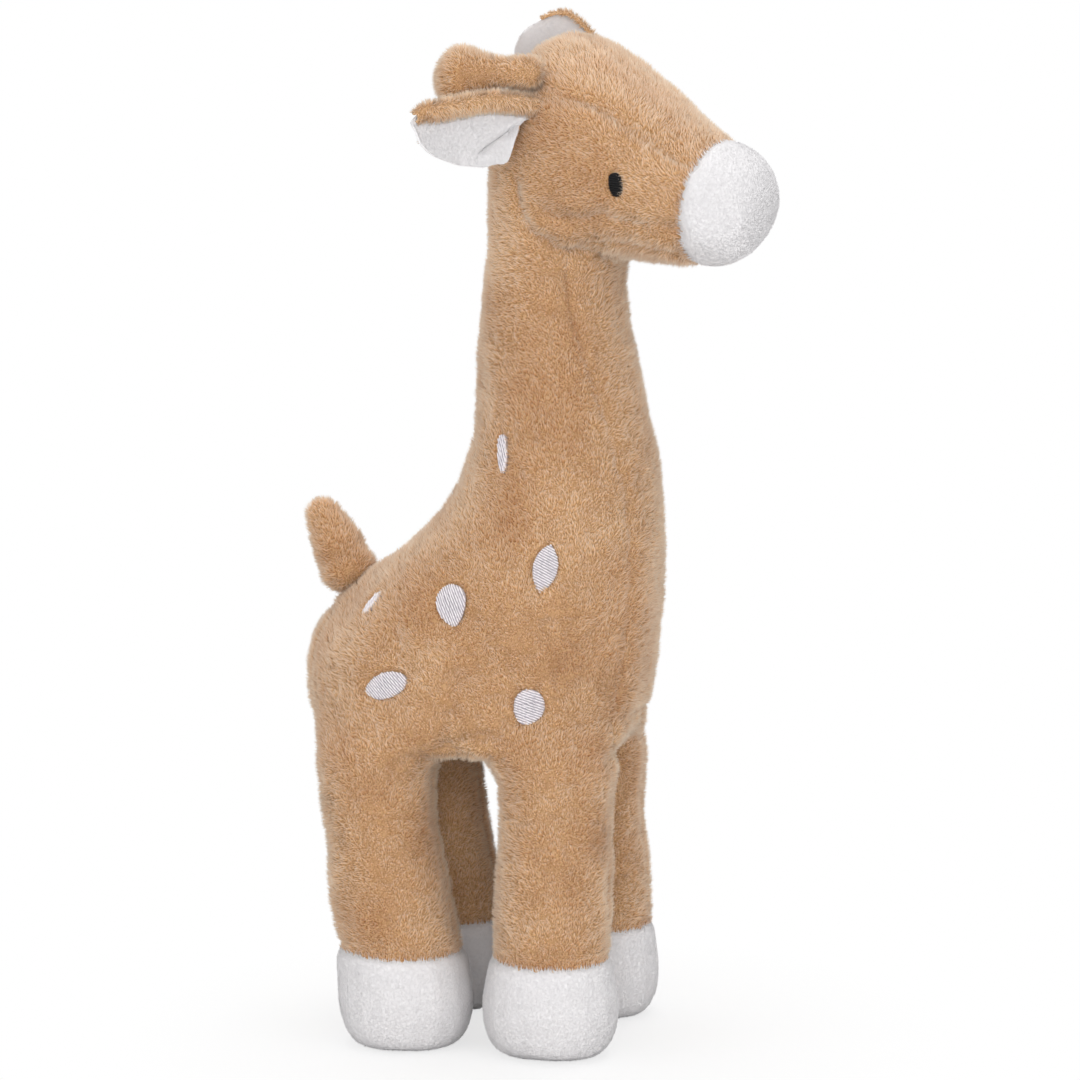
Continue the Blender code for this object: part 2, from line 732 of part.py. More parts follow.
def ear_layer(inner):
    """One layer of an ear: a cupped leaf of even thickness along X, its width along Z."""
    bm = bmesh.new()
    rows = len(EAR_OUTLINE_SHARES) - 1
    bmesh.ops.create_grid(bm, x_segments=rows, y_segments=EAR_COLUMNS, size=1)
    for vert in bm.verts:
        along, half = EAR_OUTLINE_SHARES[round((vert.co.x + 1) / 2 * rows)]
        across = math.sin(vert.co.y * math.pi / 2)
        bulge = EAR_CUP * (1 - across * across) * math.sin(math.pi * along)
        height = FIT_GAP / 2 if inner else -FIT_GAP / 2
        vert.co = Vector((EAR_LENGTH * along, height - bulge, EAR_WIDTH * half * across))
    made = bmesh.ops.extrude_face_region(bm, geom=list(bm.faces))["geom"]
    for vert in made:
        if isinstance(vert, bmesh.types.BMVert):
            vert.co.y += EAR_LAYER if inner else -EAR_LAYER
    return bm


def stuffed_profile(length, width, root_width, outline, inset):
    """Side line of a stuffed piece from its root to its tip: (distance along, radius) pairs."""
    root = root_width / 2
    line = [(-root, 0.0)]
    for share in ROOT_ARC_SHARES:
        angle = share * math.pi / 2
        line.append((-root * math.cos(angle), root * math.sin(angle)))
    line += [(length * along, width / 2 * wide) for along, wide in outline]
    line.append((length, 0.0))
    shrunk = []
    for count, (along, radius) in enumerate(line):
        before = line[max(count - 1, 0)]
        after = line[min(count + 1, len(line) - 1)]
        slope = Vector((after[0] - before[0], after[1] - before[1])).normalized()
        if radius == 0:
            shrunk.append((along + math.copysign(inset, -along), 0.0))
        else:
            shrunk.append((along + slope.y * inset, radius - slope.x * inset))
    return shrunk


def turned_solid(lines, flatness):
    """Spins side lines about X and flattens the result along Y."""
    bm = bmesh.new()
    for line in lines:
        verts = [bm.verts.new((along, 0, radius)) for along, radius in line]
        for first, second in zip(verts, verts[1:]):
            bm.edges.new((first, second))
    bmesh.ops.spin(
        bm,
        geom=list(bm.verts) + list(bm.edges),
        axis=(1, 0, 0),
        cent=(0, 0, 0),
        angle=2 * math.pi,
        steps=ROUND_SEGMENTS,
        use_merge=True,
    )
    bmesh.ops.remove_doubles(bm, verts=bm.verts, dist=MERGE_DISTANCE)
    bmesh.ops.scale(bm, vec=(1, flatness, 1), verts=bm.verts)
    return bm


def add_stuffed(name, frame, size, outline, finish, flatness=1.0):
    """A small stuffed piece: its fabric, open at the root where it is sewn on, and its filling."""
    length, width, root_width = size
    outer = stuffed_profile(length, width, root_width, outline, 0.0)
    inner = stuffed_profile(length, width, root_width, outline, SMALL_FABRIC)
    inset = SMALL_FABRIC + FIT_GAP
    filling = stuffed_profile(length, width, root_width, outline, inset)
    mouth = (-math.sqrt((root_width / 2) ** 2 - (ROOT_OPENING / 2) ** 2), ROOT_OPENING / 2)
    inner_mouth = (mouth[0] + SMALL_FABRIC, ROOT_OPENING / 2)
    skin = [mouth] + outer[2:] + inner[:1:-1] + [inner_mouth, mouth]
    shell = turned_solid([skin[:len(outer) - 1], skin[len(outer) - 1:]], flatness)
    add_object(name + "_stuffing", turned_solid([filling], flatness), FIBRE, frame)
    return add_object(name + "_fabric", shell, finish, frame)


def ear_stance(straight, side):
    """Seat, hinge and aim of an ear: the right one juts out, the left one stands up."""
    if side < 0:
        place = head_place(EAR_ROOT_AHEAD, EAR_ROOT_RISE)
        return surface_seat(straight, place, side)[0], UP, Vector(EAR_AIM)
    place = head_place(EAR_ROOT_AHEAD - LEFT_EAR_BACK, EAR_ROOT_RISE + LEFT_EAR_RISE)
    seat, normal = surface_seat(straight, place, side)
    level = normal.cross(UP).normalized()
    tilt = math.radians(LEFT_EAR_TILT_DEG)
    hinge = level * math.cos(tilt) + UP * math.sin(tilt)
    return seat, hinge, UP * math.cos(tilt) - level * math.sin(tilt)


def add_ears(trees):
    """Two-layer ears on their root seams."""
    straight, bent = trees
    for side_name, side in SIDES:
        seat, hinge, aim = ear_stance(straight, side)
        frame = root_frame("ear_root_" + side_name, seat, hinge, aim, True)
        outer = add_object("ear_outer_" + side_name, ear_layer(False), TAN, frame)
        inner = add_object("ear_inner_" + side_name, ear_layer(True), WHITE, frame)
        seat_on(frame, (outer, inner), bent)


def add_horns(trees):
    """Stuffed horns beside the crown."""
    straight, bent = trees
    for side_name, side in SIDES:
        ahead = LEFT_HORN_AHEAD if side > 0 else 0
        drop = LEFT_HORN_DROP if side > 0 else 0
        place = head_place(HORN_ROOT_AHEAD + ahead, HORN_ROOT_RISE - drop)
        seat, normal = surface_seat(straight, place, side)
        aim = Vector(HORN_AIMS[side_name])
        frame = root_frame("horn_root_" + side_name, seat, aim.cross(normal), aim, True)
        size = (HORN_LENGTH - HORN_ROOT_WIDTH / 2, HORN_WIDTH, HORN_ROOT_WIDTH)
        fabric = add_stuffed("horn_" + side_name, frame, size, HORN_OUTLINE_SHARES, TAN)
        seat_on(frame, (fabric,), bent)


def add_tail(trees):
    """The flat stuffed tail at the top of the rump."""
    straight, bent = trees
    start = Vector((-TORSO_LENGTH, 0, LEG_HEIGHT + TAIL_ROOT_RISE))
    seat, normal, _, _ = straight.ray_cast(start, Vector((1, 0, 0)))
    frame = root_frame("tail_root", seat, Vector((0, 1, 0)), TAIL_AIM, False)
    size = (TAIL_LENGTH - TAIL_ROOT_WIDTH / 2, TAIL_WIDTH, TAIL_ROOT_WIDTH)
    flatness = TAIL_THICKNESS / TAIL_WIDTH
    fabric = add_stuffed("tail", frame, size, TAIL_OUTLINE_SHARES, TAN, flatness)
    seat_on(frame, (fabric,), bent)


def bend(bm):
    """Turns the head of a straight body."""
    for vert in bm.verts:
        vert.co = turned(vert.co)
    bm.normal_update()


def centre_on_origin():
    """Moves the toy so that the middle of its bounding box is over the origin."""
    bpy.context.view_layer.update()
    meshes = [item for item in bpy.data.objects if item.type == "MESH"]
    places = [item.matrix_world @ vert.co for item in meshes for vert in item.data.vertices]
    middle = Vector()
    for axis in range(2):
        values = [place[axis] for place in places]
        middle[axis] = (min(values) + max(values)) / 2
    for item in bpy.data.objects:
        if item.parent is None:
            item.location -= middle
    bpy.context.view_layer.update()


def main():
    """Builds the toy."""
    clear_scene()
    body, filling = smooth_body()
    panels = panel_faces(body)
    straight = BVHTree.FromBMesh(body)
    bend(body)
    bend(filling)
    bent = BVHTree.FromBMesh(body)
    outward = body.verts.layers.float_vector.new("outward")
    for vert in body.verts:
        vert[outward] = vert.normal
    for name, indices in panels.items():
        finish = WHITE if name.startswith(WHITE_PANELS) else TAN
        add_object(name, fabric_panel(body, indices), finish)
    body.free()
    shrink_filling(filling, bent)
    add_stuffing(filling)
    add_embroidery((straight, bent))
    add_ears((straight, bent))
    add_horns((straight, bent))
    add_tail((straight, bent))
    centre_on_origin()


main()
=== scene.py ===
"""Looks of a standing plush giraffe: sewn pile-fabric panels, embroidery, stuffed horns, ears and tail."""

import json
import logging
import math
from dataclasses import dataclass, field
from enum import Enum

import bmesh
import bpy
import numpy as np
from mathutils import Matrix, Vector
from mathutils.bvhtree import BVHTree


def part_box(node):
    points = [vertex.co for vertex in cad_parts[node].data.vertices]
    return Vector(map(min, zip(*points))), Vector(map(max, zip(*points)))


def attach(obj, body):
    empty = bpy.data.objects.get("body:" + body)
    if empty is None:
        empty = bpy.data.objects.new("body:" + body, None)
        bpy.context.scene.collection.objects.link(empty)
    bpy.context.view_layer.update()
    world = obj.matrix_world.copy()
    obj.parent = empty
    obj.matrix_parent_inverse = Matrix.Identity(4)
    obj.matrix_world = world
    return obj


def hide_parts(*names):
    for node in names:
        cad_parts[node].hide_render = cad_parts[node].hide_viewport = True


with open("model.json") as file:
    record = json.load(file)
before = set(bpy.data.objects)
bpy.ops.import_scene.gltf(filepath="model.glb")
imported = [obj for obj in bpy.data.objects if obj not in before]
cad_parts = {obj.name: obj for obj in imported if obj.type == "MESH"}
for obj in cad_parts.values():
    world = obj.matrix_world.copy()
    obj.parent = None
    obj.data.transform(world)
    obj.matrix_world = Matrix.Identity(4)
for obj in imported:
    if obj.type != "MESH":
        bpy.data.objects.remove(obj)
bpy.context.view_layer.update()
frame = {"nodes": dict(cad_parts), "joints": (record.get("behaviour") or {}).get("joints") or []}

LOG = logging.getLogger("giraffe")
MM = 0.001
# the body that carries everything but the ears, horns and tail
TOY = "toy"
# each strand's own map: U is its dye tone, less painted shade at seams and patch edges and plus painted light on the
# ears' hanging fringe, and V runs from its root to its tip
STRAND_MAP = "OFBake"
# a wave texture of scale 1 repeats every 0.314 units
WAVE_TURN = 0.314
FEET = tuple(f"{end}_{side}" for end in ("front", "rear") for side in ("right", "left"))
# the four soles' middle, from which the toy's own places are measured
SOLES = [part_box(f"sole_{foot}") for foot in FEET]
MIDDLE = sum((low + high for low, high in SOLES), Vector()) / (2 * len(SOLES))
MIDDLE.z = 0.0


# ---------------------------------------------------------------- colours and nodes


def linear_colour(text: str) -> tuple[float, float, float, float]:
    """Turns an sRGB hex value into the linear colour that a shader wants.

    Args:
        text: Six hex digits.

    Returns:
        Red, green, blue and alpha.
    """
    parts = [int(text[at : at + 2], 16) / 255 for at in (0, 2, 4)]
    turned = [(c / 12.92 if c <= 0.04045 else ((c + 0.055) / 1.055) ** 2.4) for c in parts]
    return (turned[0], turned[1], turned[2], 1.0)


def set_values(node: bpy.types.Node, values: dict[object, object]) -> None:
    """Sets a node's sockets and, where a name isn't a socket's, its attributes."""
    for name, value in values.items():
        if isinstance(name, int) or name in node.inputs:
            node.inputs[name].default_value = value
        else:
            setattr(node, name, value)


def add_node(
    tree: bpy.types.NodeTree,
    kind: str,
    settings: dict[object, object] | None = None,
    links: dict[object, object] | None = None,
) -> bpy.types.Node:
    """Adds one shader node.

    Args:
        tree: The node tree that gets it.
        kind: The node's type name.
        settings: Attribute values, or input values where the name is an input's.
        links: Input name or number to the output socket that feeds it.

    Returns:
        The new node.
    """
    node = tree.nodes.new(kind)
    set_values(node, settings or {})
    for name, source in (links or {}).items():
        tree.links.new(source, node.inputs[name])
    return node


def maths(tree: bpy.types.NodeTree, operation: str, *values: object) -> object:
    """Adds a Math node.

    Args:
        tree: The node tree.
        operation: What it works out.
        values: Its inputs in order, each a socket or a number.

    Returns:
        The result's socket.
    """
    node = add_node(tree, "ShaderNodeMath", {"operation": operation})
    for socket, value in zip(node.inputs, values):
        if isinstance(value, bpy.types.NodeSocket):
            tree.links.new(value, socket)
        else:
            socket.default_value = value
    return node.outputs[0]


def colour_ramp(tree: bpy.types.NodeTree, source: object, stops: list[tuple[float, str]]) -> object:
    """Adds a colour ramp.

    Args:
        tree: The node tree.
        source: The socket that drives the ramp.
        stops: Places from 0 to 1 with their hex colours.

    Returns:
        The ramp's colour socket.
    """
    node = add_node(tree, "ShaderNodeValToRGB", links={"Fac": source})
    ramp = node.color_ramp
    while len(ramp.elements) < len(stops):
        ramp.elements.new(0.5)
    for element, (place, text) in zip(ramp.elements, stops):
        element.position = place
        element.color = linear_colour(text)
    return node.outputs["Color"]


def new_material(name: str) -> tuple[bpy.types.Material, bpy.types.NodeTree, bpy.types.Node, object]:
    """Makes a material with an empty Principled shader.

    Args:
        name: The material's name.

    Returns:
        The material, its node tree, its Principled node and the socket of Object coordinates.
    """
    material = bpy.data.materials.new(name)
    material.use_nodes = True
    tree = material.node_tree
    place = add_node(tree, "ShaderNodeTexCoord").outputs["Object"]
    return material, tree, tree.nodes["Principled BSDF"], place


def cover(
    tree: bpy.types.NodeTree,
    colour: object,
    values: dict[str, object],
    bump: tuple[object, float, float] | None = None,
) -> None:
    """Finishes a material's Principled shader.

    Args:
        tree: The node tree.
        colour: The socket of the base colour.
        values: Values of the shader's own sockets.
        bump: The height's socket, the bump's strength and its depth in metres.
    """
    shader = tree.nodes["Principled BSDF"]
    tree.links.new(colour, shader.inputs["Base Color"])
    set_values(shader, values)
    if bump:
        height, strength, depth = bump
        node = add_node(tree, "ShaderNodeBump", {"Strength": strength, "Distance": depth}, {"Height": height})
        tree.links.new(node.outputs["Normal"], shader.inputs["Normal"])


# ---------------------------------------------------------------- finishes


@dataclass(frozen=True)
class PileFinish:
    """Short dense acrylic plush. A strand is dark at its root, where little light gets in, and pale at its tip."""

    name: str
    slot: str
    root: str
    middle: str
    tip: str
    shade: str
    # colour of the shader's sheen and of the painted sheen, and the painted sheen's share at the edges
    sheen_colour: str
    painted_sheen_share: float = 0.5

    def material(self) -> bpy.types.Material:
        """Builds the strand material, which reads the strand's own map."""
        material, tree, _, _ = new_material(self.name)
        places = add_node(tree, "ShaderNodeUVMap", {"uv_map": STRAND_MAP})
        parts = add_node(tree, "ShaderNodeSeparateXYZ", links={0: places.outputs["UV"]})
        stops = [(0.0, self.root), (0.4, self.middle), (0.85, self.tip)]
        along = colour_ramp(tree, parts.outputs["Y"], stops)
        shade = colour_ramp(tree, parts.outputs["X"], [(0.0, self.shade), (0.75, "ffffff")])
        dyed = {"data_type": "RGBA", "blend_type": "MULTIPLY", "Factor": 1.0}
        mixed = add_node(tree, "ShaderNodeMix", dyed, {"A": along, "B": shade})
        # painted sheen: the base colour turns paler where the pile is seen edge-on, standing for its pale tips catching
        # the light
        edge = add_node(tree, "ShaderNodeLayerWeight", {"Blend": 0.3})
        share = maths(tree, "MULTIPLY", edge.outputs["Facing"], self.painted_sheen_share)
        sheen_colour = linear_colour(self.sheen_colour)
        painted_sheen = {"data_type": "RGBA", "B": sheen_colour}
        mixed = add_node(tree, "ShaderNodeMix", painted_sheen, {"Factor": share, "A": mixed.outputs["Result"]})
        sheen = {"Sheen Weight": 0.8, "Sheen Roughness": 0.5, "Sheen Tint": sheen_colour}
        cover(tree, mixed.outputs["Result"], {"Roughness": 0.75, "Specular IOR Level": 0.1, **sheen})
        return material


@dataclass(frozen=True)
class BackingFinish:
    """The knitted ground of the plush, seen only between the strands: small loops, with the gaps between them painted
    darker as shade.
    """

    name: str
    slot: str
    loop: str
    gap: str
    pitch: float = 1.2 * MM

    def material(self) -> bpy.types.Material:
        """Builds the knit material."""
        material, tree, _, place = new_material(self.name)
        wobble = add_node(tree, "ShaderNodeTexNoise", {"Scale": 1 / (6 * MM), "Detail": 3.0}, {"Vector": place})
        loops = add_node(tree, "ShaderNodeTexVoronoi", {"Scale": 1 / self.pitch}, {"Vector": place})
        height = loops.outputs["Distance"]
        blend = maths(tree, "MULTIPLY", height, wobble.outputs["Fac"])
        # painted shade: darker in the gaps between the loops
        colour = colour_ramp(tree, blend, [(0.08, self.loop), (0.5, self.gap)])
        cover(tree, colour, {"Roughness": 0.9, "Sheen Weight": 0.2}, (height, 0.5, 0.2 * MM))
        return material


@dataclass(frozen=True)
class ThreadFinish:
    """Rayon embroidery thread: a soft silky gloss along each thread, with its twist as fine slanted ribs, painted
    darker in their grooves as shade.
    """

    name: str
    slot: str
    light: str
    dark: str
    roughness: float
    sheen: float
    gloss: float
    # coarser than the real twist, so that it shows
    twist: float = 0.45 * MM

    def material(self) -> bpy.types.Material:
        """Builds the thread material."""
        material, tree, _, place = new_material(self.name)
        turned = add_node(tree, "ShaderNodeMapping", {"Rotation": (0.5, 0.3, 0.9)}, {"Vector": place})
        wave = {"Scale": WAVE_TURN / self.twist, "Distortion": 1.0, "Detail": 1.0}
        ribs = add_node(tree, "ShaderNodeTexWave", wave, {"Vector": turned.outputs["Vector"]})
        soil = add_node(tree, "ShaderNodeTexNoise", {"Scale": 1 / (3 * MM), "Detail": 2.0}, {"Vector": place})
        height = ribs.outputs["Fac"]
        mixed = maths(tree, "MULTIPLY_ADD", height, 0.4, maths(tree, "MULTIPLY", soil.outputs["Fac"], 0.4))
        # painted shade: darker in the ribs' grooves; the soil noise mottles it at random
        colour = colour_ramp(tree, mixed, [(0.0, self.dark), (0.4, self.light)])
        gloss = {"Roughness": self.roughness, "Sheen Weight": self.sheen, "Specular IOR Level": self.gloss}
        cover(tree, colour, gloss, (height, 0.35, 0.1 * MM))
        return material


@dataclass(frozen=True)
class FibreFinish:
    """Polyester fibre filling: springy off-white fibres in loose tangles, painted darker in their hollows as shade."""

    name: str
    slot: str
    light: str
    dark: str
    tangle: float = 4 * MM

    def material(self) -> bpy.types.Material:
        """Builds the filling material."""
        material, tree, _, place = new_material(self.name)
        loose = {"Scale": 1 / self.tangle, "Detail": 6.0, "Distortion": 2.0}
        height = add_node(tree, "ShaderNodeTexNoise", loose, {"Vector": place}).outputs["Fac"]
        # painted shade: the tangles are darker where their bump is low
        colour = colour_ramp(tree, height, [(0.35, self.dark), (0.65, self.light)])
        cover(tree, colour, {"Roughness": 0.95}, (height, 0.6, 0.5 * MM))
        return material


class Finish(Enum):
    """The finishes of the toy."""

    TAN_PILE = PileFinish(
        "tan acrylic plush strands", "tan_pile", "9e6a38", "f3c48f", "ffefdd", shade="c2986f", sheen_colour="ffe8d0"
    )
    WHITE_PILE = PileFinish(
        "white acrylic plush strands", "white_pile", "eae8e9", "eae8e9", "eae8e9", shade="fcfcfe", sheen_colour="f6f4f5"
    )
    TAN_BACKING = BackingFinish("tan knitted plush ground", "tan_pile", "dcb488", "c69c6c")
    WHITE_BACKING = BackingFinish("white knitted plush ground", "white_pile", "eae8e9", "e2e0e1")
    WHITE_THREAD = ThreadFinish("white rayon embroidery thread", "white_thread", "f4eff2", "b9b2bc", 0.5, 0.2, 0.3)
    # the underlay is white thread painted grey: painted shade between the top stitches
    UNDERLAY = ThreadFinish("white underlay thread painted grey as shade", "white_thread", "bdb6be", "9a949c", 0.6, 0.1, 0.2)
    BLACK_THREAD = ThreadFinish("black rayon embroidery thread", "black_thread", "121214", "040405", 0.5, 0.0, 0.25)
    FILLING = FibreFinish("polyester fibre filling", "stuffing_fibre", "f3f1ea", "cfccc2")


class Wardrobe:
    """Makes each finish's material once, and keeps the pieces that are done."""

    def __init__(self) -> None:
        """Starts with nothing made."""
        self.made: dict[str, bpy.types.Material] = {}
        self.pieces: list[bpy.types.Object] = []

    def dress(
        self, piece: bpy.types.Object, finish: Finish, body: str = TOY, node: str = ""
    ) -> None:
        """Gives a piece its finish, hides the CAD node that it stands for and hangs it on its body.

        Args:
            piece: The piece.
            finish: The finish that it gets.
            body: The CAD body that it rides on.
            node: The CAD node that it stands for, if any.
        """
        if finish.name not in self.made:
            self.made[finish.name] = finish.value.material()
        piece.data.materials.clear()
        piece.data.materials.append(self.made[finish.name])
        if node:
            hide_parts(node)
        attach(piece, body)
        self.pieces.append(piece)


WARDROBE = Wardrobe()


# ---------------------------------------------------------------- number helpers


def unit(rows: np.ndarray) -> np.ndarray:
    """Returns rows of vectors with a length of 1."""
    return rows / np.maximum(np.linalg.norm(rows, axis=-1, keepdims=True), 1e-9)


def ease(values: np.ndarray, low: float, high: float) -> np.ndarray:
    """Returns a soft step from 0 at low to 1 at high."""
    share = np.clip((values - low) / (high - low), 0, 1)
    return share * share * (3 - 2 * share)


def lumps(points: np.ndarray, size: float, seed: int) -> np.ndarray:
    """Smooth noise from -1 to 1.

    Args:
        points: Places, one per row.
        size: Width of a lump in metres.
        seed: Picks one of many patterns.

    Returns:
        One value per place.
    """
    grid = points / size + seed * 17.31
    cell = np.floor(grid).astype(np.int64)
    part = grid - cell
    part = part * part * (3 - 2 * part)
    total = np.zeros(len(points))
    for corner in np.ndindex(2, 2, 2):
        key = cell + np.array(corner)
        mixed = (key[:, 0] * 73856093) ^ (key[:, 1] * 19349663) ^ (key[:, 2] * 83492791) ^ (seed * 7919)
        mixed = ((mixed ^ (mixed >> 13)) * 1274126177) & 0x7FFFFFFF
        mixed = ((mixed ^ (mixed >> 15)) * 668265263) & 0x7FFFFFFF
        share = np.prod(np.where(np.array(corner) == 1, part, 1 - part), axis=1)
        total += share * (mixed / 0x3FFFFFFF - 1)
    return total


def lump_vectors(points: np.ndarray, size: float, seed: int) -> np.ndarray:
    """Returns smooth noise as one vector per place."""
    return np.stack([lumps(points, size, seed * 3 + axis) for axis in range(3)], axis=1)


def path_distance(points: np.ndarray, path: tuple[tuple[float, float, float], ...]) -> np.ndarray:
    """Returns the distance of each point from an open line, which is given in millimetres."""
    best = np.full(len(points), 1e9)
    for first, second in zip(path, path[1:]):
        start = np.array(Vector(first) * MM)
        stretch = np.array(Vector(second) * MM) - start
        share = np.clip(((points - start) @ stretch) / (stretch @ stretch), 0, 1)
        best = np.minimum(best, np.linalg.norm(points - start - share[:, None] * stretch, axis=1))
    return best


def along_surface(rows: np.ndarray, normals: np.ndarray) -> np.ndarray:
    """Returns vectors without their part along the normals."""
    return rows - normals * np.sum(rows * normals, axis=1, keepdims=True)


# ---------------------------------------------------------------- meshes


def in_scene(name: str, mesh: bpy.types.Mesh) -> bpy.types.Object:
    """Puts a mesh in the scene as a smooth object."""
    mesh.shade_smooth()
    piece = bpy.data.objects.new(name, mesh)
    bpy.context.scene.collection.objects.link(piece)
    return piece


def mesh_object(name: str, bm: bmesh.types.BMesh) -> bpy.types.Object:
    """Turns a bmesh, which is freed, into a smooth object in the scene."""
    mesh = bpy.data.meshes.new(name)
    bm.to_mesh(mesh)
    bm.free()
    return in_scene(name, mesh)


def array_object(name: str, points: np.ndarray, triangles: np.ndarray) -> bpy.types.Object:
    """Makes an object from many stamped copies of a shape.

    Args:
        name: The object's name.
        points: All points, one per row.
        triangles: Point numbers, three per row.

    Returns:
        The new object.
    """
    mesh = bpy.data.meshes.new(name)
    mesh.vertices.add(len(points))
    mesh.vertices.foreach_set("co", points.astype(np.float32).ravel())
    mesh.loops.add(triangles.size)
    mesh.polygons.add(len(triangles))
    mesh.polygons.foreach_set("loop_start", np.arange(0, triangles.size, 3))
    mesh.polygons.foreach_set("vertices", triangles.astype(np.int32).ravel())
    mesh.update(calc_edges=True)
    return in_scene(name, mesh)


def move_points(bm: bmesh.types.BMesh, points: np.ndarray) -> None:
    """Moves a bmesh's points to new places, in their order."""
    for vert, point in zip(bm.verts, points):
        vert.co = point


def back_with_knit(bm: bmesh.types.BMesh, normals: np.ndarray, thickness: float) -> None:
    """Gives an open sheet a thickness on its back.

    Args:
        bm: The sheet, changed in place.
        normals: Outward directions of its points, in their order.
        thickness: Thickness in metres.
    """
    sheet = bm.verts[:]
    bmesh.ops.extrude_face_region(bm, geom=bm.faces[:])
    for vert, normal in zip(sheet, normals):
        vert.co -= Vector(normal) * thickness
    bmesh.ops.recalc_face_normals(bm, faces=bm.faces)


def node_bmesh(*names: str) -> bmesh.types.BMesh:
    """Returns a merged copy of some CAD nodes' meshes."""
    bm = bmesh.new()
    for name in names:
        bm.from_mesh(frame["nodes"][name].data)
    bmesh.ops.remove_doubles(bm, verts=bm.verts, dist=0.01 * MM)
    return bm


def node_tree(*names: str) -> BVHTree:
    """Returns a search tree over some CAD nodes' faces."""
    bm = node_bmesh(*names)
    tree = BVHTree.FromBMesh(bm)
    bm.free()
    return tree


def shrunk(bm: bmesh.types.BMesh, depth: float) -> np.ndarray:
    """Returns a bmesh's points moved inwards by a depth."""
    bm.normal_update()
    return np.array([vert.co - vert.normal * depth for vert in bm.verts])


def joint_place(body: str) -> tuple[np.ndarray, np.ndarray]:
    """Returns the middle and the axis of the joint that carries a body."""
    joint = next(row for row in frame["joints"] if row["child"] == body)
    return np.array(joint["pos_m"]), np.array(joint["axis"])


def keep_largest(bm: bmesh.types.BMesh) -> None:
    """Drops every shell but the one of most points."""
    bm.verts.ensure_lookup_table()
    seen = [False] * len(bm.verts)
    shells = []
    for start in bm.verts:
        if seen[start.index]:
            continue
        shell, waiting = [], [start]
        seen[start.index] = True
        while waiting:
            vert = waiting.pop()
            shell.append(vert)
            for edge in vert.link_edges:
                other = edge.other_vert(vert)
                if not seen[other.index]:
                    seen[other.index] = True
                    waiting.append(other)
        shells.append(shell)
    shells.sort(key=len)
    for shell in shells[:-1]:
        bmesh.ops.delete(bm, geom=shell, context="VERTS")
    bm.verts.index_update()
    bm.faces.index_update()


def even_skin(nodes: tuple[str, ...], voxel: float, rounds: int) -> bmesh.types.BMesh:
    """Joins CAD nodes that touch into one skin of even small triangles.

    Args:
        nodes: The nodes.
        voxel: Size of its faces in metres.
        rounds: How often it is smoothed.

    Returns:
        The skin.
    """
    rough = mesh_object("rough", node_bmesh(*nodes))
    remesh = rough.modifiers.new("even faces", "REMESH")
    remesh.mode = "VOXEL"
    remesh.voxel_size = voxel
    even = rough.evaluated_get(bpy.context.evaluated_depsgraph_get()).to_mesh()
    bm = bmesh.new()
    bm.from_mesh(even)
    bpy.data.objects.remove(rough)
    keep_largest(bm)
    bmesh.ops.triangulate(bm, faces=bm.faces)
    for _ in range(rounds):
        bmesh.ops.smooth_vert(bm, verts=bm.verts, factor=0.5, use_axis_x=True, use_axis_y=True, use_axis_z=True)
    return bm


@dataclass
class Cloth:
    """A surface on which pile grows: points, outward normals, triangles and values at each point."""

    points: np.ndarray
    normals: np.ndarray
    triangles: np.ndarray
    values: dict[str, np.ndarray] = field(default_factory=dict)

    @classmethod
    def of(cls, bm: bmesh.types.BMesh) -> "Cloth":
        """Reads a triangulated bmesh."""
        bm.normal_update()
        points = np.array([vert.co for vert in bm.verts])
        normals = np.array([vert.normal for vert in bm.verts])
        triangles = np.array([[vert.index for vert in face.verts] for face in bm.faces])
        return cls(points, normals, triangles)

    def refresh(self) -> None:
        """Works the normals out again after the points moved."""
        corners = self.points[self.triangles]
        faces = np.cross(corners[:, 1] - corners[:, 0], corners[:, 2] - corners[:, 0])
        sums = np.zeros_like(self.points)
        for at in range(3):
            np.add.at(sums, self.triangles[:, at], faces)
        self.normals = unit(sums)


